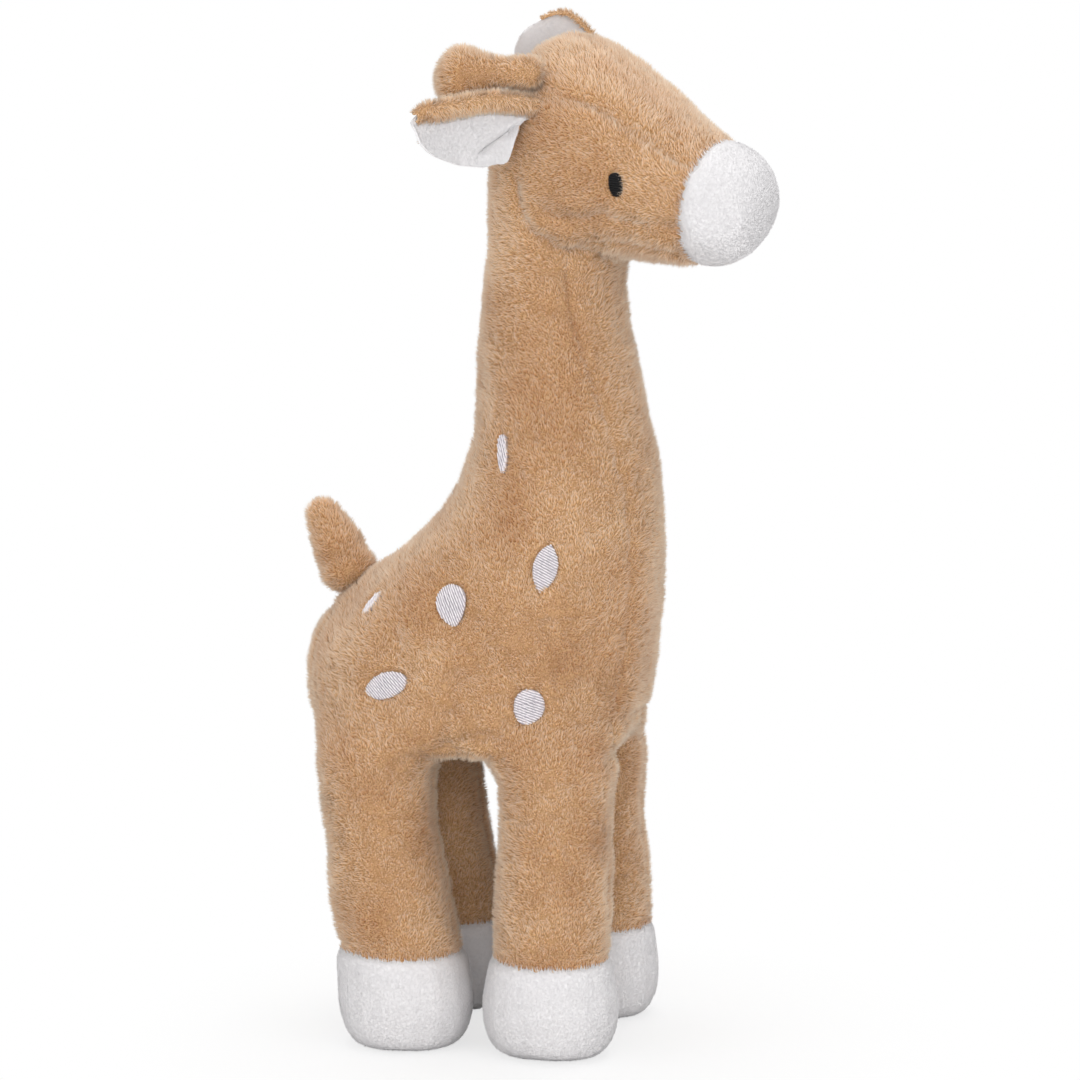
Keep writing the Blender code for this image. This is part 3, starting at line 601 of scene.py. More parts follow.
@dataclass
class Stamp:
    """One small shape that is stamped many times."""

    points: np.ndarray
    triangles: np.ndarray

    @classmethod
    def of(cls, bm: bmesh.types.BMesh) -> "Stamp":
        """Reads and frees a bmesh."""
        bmesh.ops.remove_doubles(bm, verts=bm.verts, dist=1e-5)
        bmesh.ops.triangulate(bm, faces=bm.faces)
        bmesh.ops.recalc_face_normals(bm, faces=bm.faces)
        bm.verts.index_update()
        made = cls(
            np.array([vert.co for vert in bm.verts]),
            np.array([[vert.index for vert in face.verts] for face in bm.faces]),
        )
        bm.free()
        return made

    @classmethod
    def strand(cls) -> "Stamp":
        """A closed three-sided spike along Z from 0 to 1, the plainest shape that reads as a strand of pile."""
        bm = bmesh.new()
        bmesh.ops.create_cone(bm, cap_ends=True, segments=3, radius1=0.5, radius2=0, depth=1)
        bmesh.ops.translate(bm, verts=bm.verts, vec=(0, 0, 0.5))
        return cls.of(bm)

    @classmethod
    def stitch(cls) -> "Stamp":
        """A short rounded thread along X, one unit long, wide and high."""
        bm = bmesh.new()
        bmesh.ops.create_uvsphere(bm, u_segments=6, v_segments=5, radius=0.5)
        bmesh.ops.rotate(bm, verts=bm.verts, matrix=Matrix.Rotation(math.pi / 2, 3, "Y"))
        for vert in bm.verts:
            vert.co.x = math.copysign(abs(vert.co.x * 2) ** 0.7 / 2, vert.co.x)
        return cls.of(bm)

    def copies(
        self, places: np.ndarray, along: np.ndarray, across: np.ndarray, up: np.ndarray
    ) -> tuple[np.ndarray, np.ndarray]:
        """Stamps the shape.

        Args:
            places: Where each copy's origin goes.
            along: Each copy's X axis, with its size.
            across: Each copy's Y axis, with its size.
            up: Each copy's Z axis, with its size.

        Returns:
            All points and all triangles.
        """
        shape = self.points
        points = (
            places[:, None]
            + shape[None, :, :1] * along[:, None]
            + shape[None, :, 1:2] * across[:, None]
            + shape[None, :, 2:] * up[:, None]
        )
        starts = np.arange(len(places)) * len(shape)
        triangles = self.triangles[None] + starts[:, None, None]
        return points.reshape(-1, 3), triangles.reshape(-1, 3)


# ---------------------------------------------------------------- pile


@dataclass(frozen=True)
class Nap:
    """How the pile of a fabric stands.

    Lengths in metres, lean in degrees from upright, density in strands per square millimetre. even is the share of
    the fabric's own normal in a strand's shading, because light soaks through real pile. ruffle scales the tufts.
    """

    length: float = 2.9 * MM
    width: float = 0.44 * MM
    lean: float = 27.0
    density: float = 2.7
    even: float = 0.56
    ruffle: float = 1.0


@dataclass
class Strands:
    """Strands rooted on a surface, before they are made solid."""

    roots: np.ndarray
    normals: np.ndarray
    lay: np.ndarray
    values: dict[str, np.ndarray]

    def some(self, keep: np.ndarray) -> "Strands":
        """Returns only the strands that are kept."""
        values = {name: rows[keep] for name, rows in self.values.items()}
        return Strands(self.roots[keep], self.normals[keep], self.lay[keep], values)


@dataclass(frozen=True)
class Variety:
    """A value that varies softly from place to place, and at random from strand to strand."""

    middle: float
    soft: float
    width: float
    seed: int
    low: float
    high: float

    def draw(self, random: np.random.Generator, roots: np.ndarray) -> np.ndarray:
        """Returns one value for each root."""
        soft = self.middle + self.soft * lumps(roots, self.width, self.seed)
        return soft + random.uniform(self.low, self.high, len(roots))


class Grower:
    """Plants strands on cloth and makes them solid."""

    # width of a tuft, seed of its pattern and how far it turns its strands
    TUFTS = ((22 * MM, 3, 0.25), (4.5 * MM, 5, 0.30), (1.9 * MM, 7, 0.36))
    STRAY = 0.14
    # the most that a strand leans, as the sine of its angle
    FLATTEST = 0.93
    CLEARANCE = 0.15 * MM
    LENGTHS = Variety(1.0, 0.10, 5 * MM, 11, -0.14, 0.12)
    WIDTHS = (0.8, 1.2)
    SHADES = Variety(0.55, 0.25, 16 * MM, 13, -0.22, 0.22)

    def __init__(self, seed: int) -> None:
        """Starts a repeatable sequence.

        Args:
            seed: Start of the random numbers.
        """
        self.random = np.random.default_rng(seed)
        self.shape = Stamp.strand()

    def plant(self, cloth: Cloth, nap: Nap) -> Strands:
        """Spreads roots evenly over a cloth.

        Args:
            cloth: The surface. Its values "lay" and others are carried to the roots.
            nap: How the pile stands.

        Returns:
            The strands.
        """
        corners = cloth.points[cloth.triangles]
        areas = np.linalg.norm(np.cross(corners[:, 1] - corners[:, 0], corners[:, 2] - corners[:, 0]), axis=1) / 2
        reach = np.cumsum(areas * nap.density / (MM * MM))
        counts = np.diff(np.floor(np.concatenate([[0.0], reach]))).astype(int)
        faces = np.repeat(np.arange(len(areas)), counts)
        order = np.arange(len(faces))
        shift = self.random.random((len(areas), 2))[faces]
        spread = (order[:, None] * np.array([0.7548776662, 0.5698402910]) + shift) % 1.0
        spread = np.where(spread.sum(1, keepdims=True) > 1, 1 - spread, spread)
        shares = np.concatenate([1 - spread.sum(1, keepdims=True), spread], axis=1)
        picked = cloth.triangles[faces]

        def carried(rows: np.ndarray) -> np.ndarray:
            """Returns values of the cloth's points at the roots."""
            parts = rows[picked]
            return np.einsum("ij,ij...->i...", shares, parts)

        values = {name: carried(rows) for name, rows in cloth.values.items()}
        lay = values.pop("lay")
        return Strands(carried(cloth.points), unit(carried(cloth.normals)), lay, values)

    def grow(self, name: str, strands: Strands, nap: Nap, floor: bool = False) -> bpy.types.Object:
        """Makes strands solid.

        Args:
            name: The new object's name.
            strands: The strands.
            nap: How the pile stands.
            floor: Whether tips are kept above the floor.

        Returns:
            The object, with the strand map that the pile finish reads.
        """
        count = len(strands.roots)
        roots, normals, values = strands.roots, strands.normals, strands.values
        tufts = [lump_vectors(roots, width, seed) * turn * nap.ruffle for width, seed, turn in self.TUFTS]
        stray = self.random.normal(0, self.STRAY * min(1, 0.3 + nap.ruffle), (count, 3))
        lean = math.radians(nap.lean) * values.get("lean", np.ones(count))
        lay = unit(along_surface(strands.lay, normals) + 1e-6) * np.sin(lean)[:, None]
        lay = along_surface(sum(tufts, lay) + stray, normals)
        size = np.minimum(np.linalg.norm(lay, axis=1), self.FLATTEST)
        aim = unit(lay) * size[:, None] + normals * np.sqrt(1 - size * size)[:, None]
        length = nap.length * values.get("tall", np.ones(count)) * self.LENGTHS.draw(self.random, roots)
        side = unit(np.cross(aim, self.random.normal(size=(count, 3))))
        width = nap.width * self.random.uniform(*self.WIDTHS, count)
        points, triangles = self.shape.copies(
            roots, side * width[:, None], np.cross(aim, side) * width[:, None], aim * length[:, None]
        )
        if floor:
            points[:, 2] = np.maximum(points[:, 2], self.CLEARANCE)
        piece = array_object(name, points, triangles)
        # dye tone at random, less painted shade at seams and patch edges; a negative value is painted light on the
        # ears' hanging fringe
        shade = self.SHADES.draw(self.random, roots) - values.get("dark", np.zeros(count))
        corners = self.shape.triangles.ravel()
        places = np.empty((count, len(corners), 2), dtype=np.float32)
        places[:, :, 0] = np.clip(shade, 0.02, 0.98)[:, None]
        places[:, :, 1] = np.clip(self.shape.points[:, 2], 0.02, 0.98)[corners][None]
        piece.data.uv_layers.new(name=STRAND_MAP).uv.foreach_set("vector", places.ravel())
        own = np.zeros(points.size, dtype=np.float32)
        piece.data.vertices.foreach_get("normal", own)
        cloth_share = np.repeat(normals, len(self.shape.points), axis=0) * nap.even
        shading = unit(cloth_share + own.reshape(-1, 3) * (1 - nap.even))
        piece.data.normals_split_custom_set_from_vertices(shading.astype(np.float32))
        return piece


GROWER = Grower(20)


# ---------------------------------------------------------------- embroidery


@dataclass(frozen=True)
class Outline:
    """Outline of an embroidered patch: half widths across its long axis.

    blunt is 2 for an ellipse and less for pointed ends; skew moves the widest place along the long axis; move shifts
    the patch along and across, and tilt_deg turns it from its long axis towards across.
    """

    length: float
    width: float
    blunt: float = 2.0
    skew: float = 0.0
    rows_deg: float = 40.0
    move: tuple[float, float] = (0.0, 0.0)
    tilt_deg: float = 0.0

    def half_width(self, along: np.ndarray) -> np.ndarray:
        """Returns the half width at places from -1 to 1 along the long axis."""
        share = np.clip(1 - np.abs(along) ** 2, 0, 1) ** (1 / self.blunt)
        return self.width / 2 * share * (1 + self.skew * along)

    def depth(self, along: np.ndarray, across: np.ndarray) -> np.ndarray:
        """Returns how far inside the outline places are, from 1 in the middle to 0 on the edge, less outside."""
        share = along / (self.length / 2)
        inside = np.maximum(self.half_width(np.clip(share, -0.98, 0.98)), 0.3 * MM)
        return 1 - np.maximum(np.abs(across) / inside, np.abs(share))


class Patch:
    """An embroidered patch: a padded ground and rows of stitches, sunk in the pile."""

    SINK = 1.9 * MM
    # real rows are 0.4 mm apart; they are drawn coarser so that they show
    ROW = 0.88 * MM
    STITCH = 3.4 * MM
    UNDERLAY = 0.9 * MM
    # how much higher the stitches are in the middle than at the edge
    CROWN = 0.45 * MM
    # a stitch's width as a share of its row, and how far it laps over the next one
    THREAD = 0.72
    LAP = 1.02

    def __init__(self, node: str, outline: Outline, finish: Finish) -> None:
        """Finds the patch's place from its CAD node.

        Args:
            node: The CAD node.
            outline: Its outline.
            finish: The thread.
        """
        self.node = node
        self.outline = outline
        self.finish = finish
        points = np.array([vert.co for vert in frame["nodes"][node].data.vertices])
        self.middle = (points.min(0) + points.max(0)) / 2
        spread = points - points.mean(0)
        axes = np.linalg.svd(spread, full_matrices=False)[2]
        self.along = axes[0] * (1 if axes[0][2] > 0 else -1)
        out = axes[2]
        centre = np.array(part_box("torso_stuffing")[0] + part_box("torso_stuffing")[1]) / 2
        centre[2] = self.middle[2]
        self.out = out * (1 if out @ (self.middle - centre) > 0 else -1)
        self.across = np.cross(self.out, self.along)
        tilt = math.radians(outline.tilt_deg)
        self.along = self.along * math.cos(tilt) + self.across * math.sin(tilt)
        self.across = np.cross(self.out, self.along)
        self.middle = self.middle + self.along * outline.move[0] + self.across * outline.move[1]

    def depth(self, points: np.ndarray) -> np.ndarray:
        """Returns how far inside the patch some points are; far ones get a large negative value."""
        offset = points - self.middle
        depth = self.outline.depth(offset @ self.along, offset @ self.across)
        return np.where(np.linalg.norm(offset, axis=1) < self.outline.length, depth, -9.0)

    def stitches(self) -> tuple[np.ndarray, np.ndarray]:
        """Returns stitch middles and lengths in the patch's own plane, rows turned by the outline's angle."""
        turn = math.radians(self.outline.rows_deg)
        reach = self.outline.length * 0.75
        places, lengths = [], []
        rows = int(reach * 2 / self.ROW)
        for row in range(rows):
            across = -reach + (row + 0.5) * self.ROW
            start = -reach + (row % 2) * self.STITCH / 2
            for step in range(int(reach * 2 / self.STITCH) + 1):
                along = start + step * self.STITCH
                fine = along + np.linspace(-0.5, 0.5, 9) * self.STITCH
                x = fine * math.cos(turn) - across * math.sin(turn)
                y = fine * math.sin(turn) + across * math.cos(turn)
                inside = self.outline.depth(x, y) > 0
                if inside.sum() >= 2:
                    kept = fine[inside]
                    middle = (kept[0] + kept[-1]) / 2
                    places.append(
                        (
                            middle * math.cos(turn) - across * math.sin(turn),
                            middle * math.sin(turn) + across * math.cos(turn),
                        )
                    )
                    lengths.append(kept[-1] - kept[0] + self.STITCH / 8)
        return np.array(places), np.array(lengths)

    def raise_on(self, surface: BVHTree, flat: np.ndarray, height: float) -> tuple[np.ndarray, np.ndarray]:
        """Lays plane places on the toy.

        Args:
            surface: The toy's fabric.
            flat: Places in the patch's plane.
            height: Height over the fabric.

        Returns:
            Points and outward directions.
        """
        points, outs = [], []
        for along, across in flat:
            guess = Vector(self.middle + self.along * along + self.across * across)
            hit, out, _, _ = surface.find_nearest(guess)
            points.append(hit + out * height)
            outs.append(out)
        return np.array(points), np.array(outs)

    def build(self, surface: BVHTree) -> None:
        """Builds the stitches and the underlay beneath them, which under white thread is painted grey as shade.

        Args:
            surface: The toy's fabric, as the CAD has it.
        """
        bm = bmesh.new()
        bmesh.ops.create_circle(bm, cap_ends=True, segments=36, radius=1)
        bmesh.ops.inset_region(bm, faces=bm.faces[:], thickness=0.35, use_boundary=True)
        flat = []
        for vert in bm.verts:
            share = max(min(vert.co.x, 0.999), -0.999)
            half = float(self.outline.half_width(np.array([share]))[0])
            wide = vert.co.y / max(math.sqrt(1 - share * share), 0.05)
            flat.append((share * self.outline.length / 2, max(min(wide, 1), -1) * half))
        lows, outs = self.raise_on(surface, np.array(flat), -self.SINK - self.UNDERLAY)
        ring = bm.faces[:]
        for vert, low in zip(bm.verts, lows):
            vert.co = low
        made = bmesh.ops.extrude_face_region(bm, geom=ring)["geom"]
        normal = Vector(self.out)
        for vert in made:
            if isinstance(vert, bmesh.types.BMVert):
                vert.co += normal * self.UNDERLAY
        bmesh.ops.recalc_face_normals(bm, faces=bm.faces)
        ground = Stamp.of(bm)
        places, lengths = self.stitches()
        points, outs = self.raise_on(surface, places, 0.0)
        share = np.clip(self.outline.depth(places[:, 0], places[:, 1]), 0, 1)
        points = points + outs * (-self.SINK + self.CROWN * np.sqrt(share))[:, None]
        turn = math.radians(self.outline.rows_deg)
        run = self.along * math.cos(turn) + self.across * math.sin(turn)
        run = unit(run - outs * (outs @ run)[:, None])
        beside = np.cross(outs, run)
        dots, faces = Stamp.stitch().copies(
            points, run * lengths[:, None] * self.LAP, beside * self.ROW * self.THREAD, outs * self.ROW
        )
        piece = array_object(self.node + "_stitches", dots, faces)
        WARDROBE.dress(piece, self.finish, node=self.node)
        under = array_object(self.node + "_underlay", ground.points, ground.triangles)
        # the white patches' underlay is painted grey as the shade between the stitches; the eyes' is black thread
        WARDROBE.dress(under, Finish.BLACK_THREAD if self.finish is Finish.BLACK_THREAD else Finish.UNDERLAY)


@dataclass
class Embroidery:
    """All spots and both eyes."""

    spots: tuple[Outline, ...] = (
        Outline(14.2 * MM, 4.8 * MM, 2.6, 0.05, 12),
        Outline(17.6 * MM, 9.4 * MM, 1.35, 0.05, 74, (0.9 * MM, 0.0), 5),
        Outline(16.2 * MM, 11.6 * MM, 1.7, 0.28, 12, (1.4 * MM, 0.0)),
        Outline(11.0 * MM, 4.6 * MM, 1.8, 0.0, 40, (1.4 * MM, 0.0)),
        Outline(17.6 * MM, 9.6 * MM, 1.9, 0.05, 120, (0.0, 1.2 * MM), 8),
        Outline(13.0 * MM, 11.4 * MM, 1.8, 0.16, 100, (0.8 * MM, 0.3 * MM), -24),
    )
    eye: Outline = Outline(9.4 * MM, 5.2 * MM, 2.4, 0.06, 82)

    def patches(self) -> list[Patch]:
        """Returns every patch."""
        made = []
        for side in ("right", "left"):
            for count, outline in enumerate(self.spots, 1):
                made.append(Patch(f"spot_{side}_{count}", outline, Finish.WHITE_THREAD))
            made.append(Patch(f"eye_{side}", self.eye, Finish.BLACK_THREAD))
        return made


# ---------------------------------------------------------------- the sewn body


class Region(Enum):
    """Whose middle plane a fold or swelling is mirrored about."""

    BODY = "body"
    HEAD = "head"


@dataclass(frozen=True)
class Fold:
    """A crease in the filling on both sides: its line in millimetres, depth, width and the ridges beside it."""

    region: Region
    path: tuple[tuple[float, float, float], ...]
    depth: float
    width: float
    ridge: float


@dataclass(frozen=True)
class Swelling:
    """A line in millimetres along which the filling pushes the cloth out, or is slack if push is negative.

    side is 0 for both sides, -1 for the right one and 1 for the left one.
    """

    region: Region
    path: tuple[tuple[float, float, float], ...]
    reach: float
    push: float
    side: int = 0


# straight-head places are measured from the neck's axis, and body places from the soles' middle
NECK_AXIS = (0.0215 + MIDDLE.x, MIDDLE.y)
FOLDS = (
    Fold(
        Region.HEAD,
        (
            (15.7, 33.1, 304.8), (19.7, 30.9, 302.0), (27.5, 28.6, 301.3), (35.8, 28.8, 302.8),
            (41.1, 27.4, 301.4), (48.4, 25.8, 299.6), (55.7, 24.6, 299.0), (62.5, 21.7, 297.6),
        ),
        1.3 * MM, 3.2 * MM, 0.4 * MM,
    ),
    Fold(
        Region.HEAD,
        (
            (4.1, 35.4, 314.3), (4.8, 33.9, 306.6), (7.4, 31.3, 298.1),
            (13.4, 28.2, 294.5), (16.4, 24.3, 291.0), (22.3, 16.7, 289.5),
        ),
        2.2 * MM, 2.4 * MM, 0.5 * MM,
    ),
    Fold(
        Region.HEAD,
        ((79.7, 19.7, 307.0), (80.7, 18.5, 304.2), (80.9, 16.8, 301.5), (80.5, 15.3, 298.7)),
        0.7 * MM, 2.4 * MM, 0.0,
    ),
    Fold(
        Region.HEAD,
        (
            (10.7, 33.9, 345.2), (22.6, 34.2, 344.3), (30.7, 30.6, 343.9), (36.8, 28.5, 342.5),
            (41.9, 27.5, 339.0), (51.5, 24.5, 333.0), (63.3, 21.9, 325.0), (68.6, 20.6, 321.9),
        ),
        1.0 * MM, 2.4 * MM, 0.3 * MM,
    ),
    Fold(Region.BODY, ((-26.8, 45.1, 154.3), (-25.1, 46.6, 148.0), (-24.1, 47.6, 141.6)), 1.2 * MM, 3.6 * MM, 0.3 * MM),
    Fold(Region.BODY, ((-4.2, 49.0, 134.7), (-6.5, 48.8, 123.7), (-9.2, 47.5, 114.3)), 1.2 * MM, 5.0 * MM, 0.3 * MM),
    Fold(
        Region.BODY,
        ((10.8, 48.0, 116.3), (15.3, 48.2, 119.8), (20.6, 47.2, 121.3), (27.5, 45.4, 121.4)),
        1.0 * MM, 4.0 * MM, 0.3 * MM,
    ),
    Fold(Region.BODY, ((-9.7, 45.8, 111.4), (-1.7, 47.6, 114.6), (5.9, 48.0, 116.5)), 1.2 * MM, 3.2 * MM, 0.3 * MM),
    Fold(Region.BODY, ((50.4, 31.0, 108.8), (51.3, 15.1, 110.6), (50.1, 0.0, 109.7)), 1.2 * MM, 3.2 * MM, 0.3 * MM),
)
SWELLINGS = (
    Swelling(Region.HEAD, ((24.6, 0.0, 365.3), (47.4, 0.0, 348.5), (58.0, 0.0, 341.0)), 15 * MM, -1.9 * MM),
    Swelling(Region.BODY, ((4.6, 0.0, 317.9), (1.7, 0.0, 300.1)), 14 * MM, -2.8 * MM),
    Swelling(Region.BODY, ((-4.5, 0.0, 255.0), (-3.5, 0.0, 238.0)), 14 * MM, 1.5 * MM),
    Swelling(
        Region.BODY,
        ((-6.1, 0.0, 218.5), (-8.3, 0.0, 207.7), (-17.3, 0.0, 196.4), (-27.3, 0.0, 186.8)),
        18 * MM, -3.2 * MM,
    ),
    Swelling(Region.BODY, ((-55.6, 0.0, 161.5), (-64.0, 0.0, 150.0)), 16 * MM, 2.0 * MM),
    Swelling(Region.BODY, ((62.3, 0.0, 168.0), (60.6, 0.0, 149.6)), 16 * MM, -1.8 * MM),
    Swelling(Region.BODY, ((51.1, 30.0, 108.1), (50.2, 30.0, 76.7)), 12 * MM, -2.6 * MM, 1),
    Swelling(Region.BODY, ((-24.0, 34.0, 85.0), (-24.0, 34.0, 45.0)), 12 * MM, 2.2 * MM, 1),
    Swelling(Region.BODY, ((-58.0, 34.0, 50.0), (-58.0, 34.0, 34.0)), 14 * MM, 2.8 * MM),
    Swelling(Region.BODY, ((18.0, 34.0, 3.0), (50.0, 34.0, 3.0)), 22 * MM, 1.6 * MM),
    Swelling(Region.BODY, ((-18.0, 34.0, 3.0), (-50.0, 34.0, 3.0)), 22 * MM, 1.6 * MM),
)


@dataclass
class SewnBody:
    """Torso, neck, head and legs: panels of pile fabric over filling, one smooth skin creased along its seams."""

    voxel: float = 1.9 * MM
    # from the CAD's surface, where the pile ends, down to its roots
    sink: float = 2.4 * MM
    white_sink: float = 0.3 * MM
    dimple: float = 1.2 * MM
    backing: float = 0.8 * MM
    seam_depth: float = 0.9 * MM
    white_seam_depth: float = 0.35 * MM
    seam_width: float = 2.4 * MM
    # heights over the floor of the soles and of the lowest cloth beside them
    sole_height: float = 0.5 * MM
    lowest: float = 0.3 * MM
    head_turn_deg: float = -17.0
    # width, pattern number and share of the filling's soft lumps, which are a millimetre high
    softness: tuple[tuple[float, int, float], ...] = ((26 * MM, 2, 0.7), (11 * MM, 4, 0.3))
    most_strands: int = 48000
    nap: Nap = Nap()
    white_nap: Nap = Nap(0.9 * MM, 0.32 * MM, 50.0, 2.7, 1.0, 0.3)
    sole_nap: Nap = Nap(0.9 * MM, 0.40 * MM, 62.0, 1.6, 1.0, 0.3)
    names: tuple[str, ...] = (
        "side_panel_right",
        "side_panel_left",
        "chest_gusset",
        "belly_gusset",
        "head_gusset",
        "muzzle_cap",
        *(f"{part}_{foot}" for part in ("inner_leg", "foot_cap", "sole") for foot in FEET),
    )
    fillings: tuple[str, ...] = (
        "torso_stuffing",
        "neck_stuffing",
        "head_stuffing",
        *(f"leg_stuffing_{foot}" for foot in FEET),
    )

    def finish(self, name: str) -> tuple[Finish, Finish]:
        """Returns the strand and ground finishes of a panel."""
        if name.startswith(("muzzle", "foot", "sole")):
            return Finish.WHITE_PILE, Finish.WHITE_BACKING
        return Finish.TAN_PILE, Finish.TAN_BACKING

    def straight_head(self, points: np.ndarray) -> np.ndarray:
        """Returns points as they were before the head turned, about the head's own middle plane."""
        turn = math.radians(-self.head_turn_deg)
        spin = np.array([[math.cos(turn), -math.sin(turn), 0], [math.sin(turn), math.cos(turn), 0], [0, 0, 1]])
        return (points - np.array([*NECK_AXIS, 0.0])) @ spin.T

    def combing(self, points: np.ndarray) -> np.ndarray:
        """Returns the direction in which the pile lies: up the legs, body and neck, and up and back on the head."""
        nose, head = (np.array(sum(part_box(name), Vector()) / 2) for name in ("muzzle_cap", "head_stuffing"))
        ahead = unit((nose - head) * np.array([1, 1, 0.6]))
        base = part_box("head_stuffing")[0].z
        share = ease(points[:, 2], base - 12 * MM, base + 18 * MM)[:, None]
        up = np.array([-0.1, 0.0, 1.0])
        back = -0.9 * ahead + np.array([0, 0, 0.8])
        return up * (1 - share) + back * share

    def build(self, patches: list[Patch]) -> None:
        """Builds the panels, their pile and their filling.

        Args:
            patches: Embroidery, under which no pile grows.
        """
        skin = even_skin((*self.names, *self.fillings), self.voxel, 3)
        cloth = Cloth.of(skin)
        near = self.distances(cloth.points)
        self.sculpt(cloth, near, patches)
        self.panels(skin, cloth, near)
        self.pile(cloth, near, patches)
        self.fill()

    def distances(self, points: np.ndarray) -> np.ndarray:
        """Returns each point's distance from each panel, one column per panel, or a metre where it is far off."""
        reach = 30 * MM
        columns = []
        for name in self.names:
            low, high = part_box(name)
            inside = np.all((points > np.array(low) - reach) & (points < np.array(high) + reach), axis=1)
            tree = node_tree(name)
            column = np.full(len(points), 1.0)
            for at in np.nonzero(inside)[0]:
                column[at] = tree.find_nearest(Vector(points[at]))[3]
            columns.append(column)
        return np.stack(columns, axis=1)

    def sculpt(self, cloth: Cloth, near: np.ndarray, patches: list[Patch]) -> None:
        """Sinks the skin to the pile's roots, creases the seams and makes the filling's soft lumps.

        Args:
            cloth: The skin, changed in place.
            near: Distances from the panels.
            patches: Embroidery, each of which pulls a dimple.
        """
        order = np.sort(near, axis=1)
        seam = order[:, 1] - order[:, 0]
        sole = np.array([name.startswith("sole") for name in self.names])[near.argmin(1)]
        white = np.array([self.finish(name)[0] is Finish.WHITE_PILE for name in self.names])
        tan_share = ease(near[:, white].min(1) - near[:, ~white].min(1), -2 * MM, 2 * MM)
        depth = self.white_sink + (self.sink - self.white_sink) * tan_share
        edge = 1 - np.abs(2 * tan_share - 1)
        seam_depth = self.seam_depth * (1 - edge) + self.white_seam_depth * edge
        depth += np.where(sole, 0, seam_depth * np.exp(-((seam / self.seam_width) ** 2)))
        soft = sum(share * lumps(cloth.points, width, seed) for width, seed, share in self.softness)
        depth -= np.where(sole, 0, soft * MM)
        places = {Region.HEAD: self.straight_head(cloth.points), Region.BODY: cloth.points - np.array(MIDDLE)}
        side = np.sign(places[Region.BODY][:, 1])
        for rows in places.values():
            rows[:, 1] = np.abs(rows[:, 1])
        for fold in FOLDS:
            gap = path_distance(places[fold.region], fold.path)
            depth += fold.depth * np.exp(-((gap / fold.width) ** 2))
            depth -= fold.ridge * np.exp(-(((gap - 2.2 * fold.width) / (1.5 * fold.width)) ** 2))
        for swelling in SWELLINGS:
            gap = path_distance(places[swelling.region], swelling.path)
            there = (side * swelling.side >= 0).astype(float)
            depth -= swelling.push * np.exp(-((gap / swelling.reach) ** 2)) * there
        for patch in patches:
            depth += self.dimple * ease(patch.depth(cloth.points), -0.6, 0.15)
        cloth.points = cloth.points - cloth.normals * depth[:, None]
        flat = np.where(sole, self.sole_height, self.lowest)
        cloth.points[:, 2] = np.where(sole, flat, np.maximum(cloth.points[:, 2], flat))
        cloth.refresh()
        cloth.values = {"seam": seam, "tan": tan_share}

    def panels(self, skin: bmesh.types.BMesh, cloth: Cloth, near: np.ndarray) -> None:
        """Cuts the skin into its panels, each a thin closed sheet of knitted ground.

        Args:
            skin: The skin, which is freed.
            cloth: Its sculpted places and normals.
            near: Distances from the panels.
        """
        label = near[cloth.triangles].sum(1).argmin(1)
        move_points(skin, cloth.points)
        for number, name in enumerate(self.names):
            bm = skin.copy()
            others = [face for face, mark in zip(bm.faces, label) if mark != number]
            kept = np.unique(cloth.triangles[label == number])
            bmesh.ops.delete(bm, geom=others, context="FACES")
            back_with_knit(bm, cloth.normals[kept], self.backing)
            WARDROBE.dress(mesh_object(name + "_ground", bm), self.finish(name)[1], node=name)
        skin.free()

    def pile(self, cloth: Cloth, near: np.ndarray, patches: list[Patch]) -> None:
        """Grows the pile of every panel, a large panel's in bands from its bottom to its top.

        Args:
            cloth: The skin.
            near: Distances from the panels.
            patches: Embroidery, under which no pile grows.
        """
        cloth.values["lay"] = self.combing(cloth.points)
        cloth.values["near"] = near
        strands = GROWER.plant(cloth, self.nap)
        values = strands.values
        label = values["near"].argmin(1)
        # strands are pressed down where a seam holds them, and painted darker there as the seam's shade
        open_share = ease(np.clip(values["seam"], 0, 9), 0.3 * MM, 2.8 * MM)
        values["tall"] = 0.80 + 0.20 * open_share
        # painted shade in the seam's crease
        values["dark"] = 0.10 * (1 - open_share)
        values["lean"] = np.ones(len(label))
        keep = np.ones(len(label), dtype=bool)
        for patch in patches:
            self.part_round(patch, strands, keep)
        for number, name in enumerate(self.names):
            chosen = strands.some(keep & (label == number))
            nap = self.nap
            if name.startswith("sole"):
                nap = self.sole_nap
                chosen = chosen.some(GROWER.random.random(len(chosen.roots)) < nap.density / self.nap.density)
            elif self.finish(name)[0] is Finish.WHITE_PILE:
                # the short white pile rises to the tan one's height at their seam
                nap = self.white_nap
                chosen.values["tall"] *= 1 + 2.0 * ease(chosen.values["tan"], 0.0, 0.5)
            height = chosen.roots[:, 2]
            bands = max(1, math.ceil(len(height) / self.most_strands))
            edges = np.quantile(height, np.linspace(0, 1, bands + 1))
            edges[0], edges[-1] = -1, 9
            for band in range(bands):
                inside = (height >= edges[band]) & (height < edges[band + 1])
                title = f"{name}_pile" if bands == 1 else f"{name}_pile_{band + 1}"
                piece = GROWER.grow(title, chosen.some(inside), nap, floor=name.startswith(("sole", "foot")))
                WARDROBE.dress(piece, self.finish(name)[0])

    def part_round(self, patch: Patch, strands: Strands, keep: np.ndarray) -> None:
        """Clears the pile from a patch, makes it stand up round the patch's edge and paints it darker there, as painted
        shade.

        Args:
            patch: The patch.
            strands: All strands, changed in place.
            keep: Which strands stay, changed in place.
        """
        close = np.linalg.norm(strands.roots - patch.middle, axis=1) < patch.outline.length
        places = strands.roots[close]
        depth = patch.depth(places)
        keep[np.nonzero(close)[0][depth > -0.02]] = False
        round_edge = ease(depth, -0.5, -0.05)
        inward = unit(patch.middle - places)
        strands.values["lean"][close] *= 1 - 0.4 * round_edge
        strands.values["tall"][close] *= 1 - 0.18 * round_edge
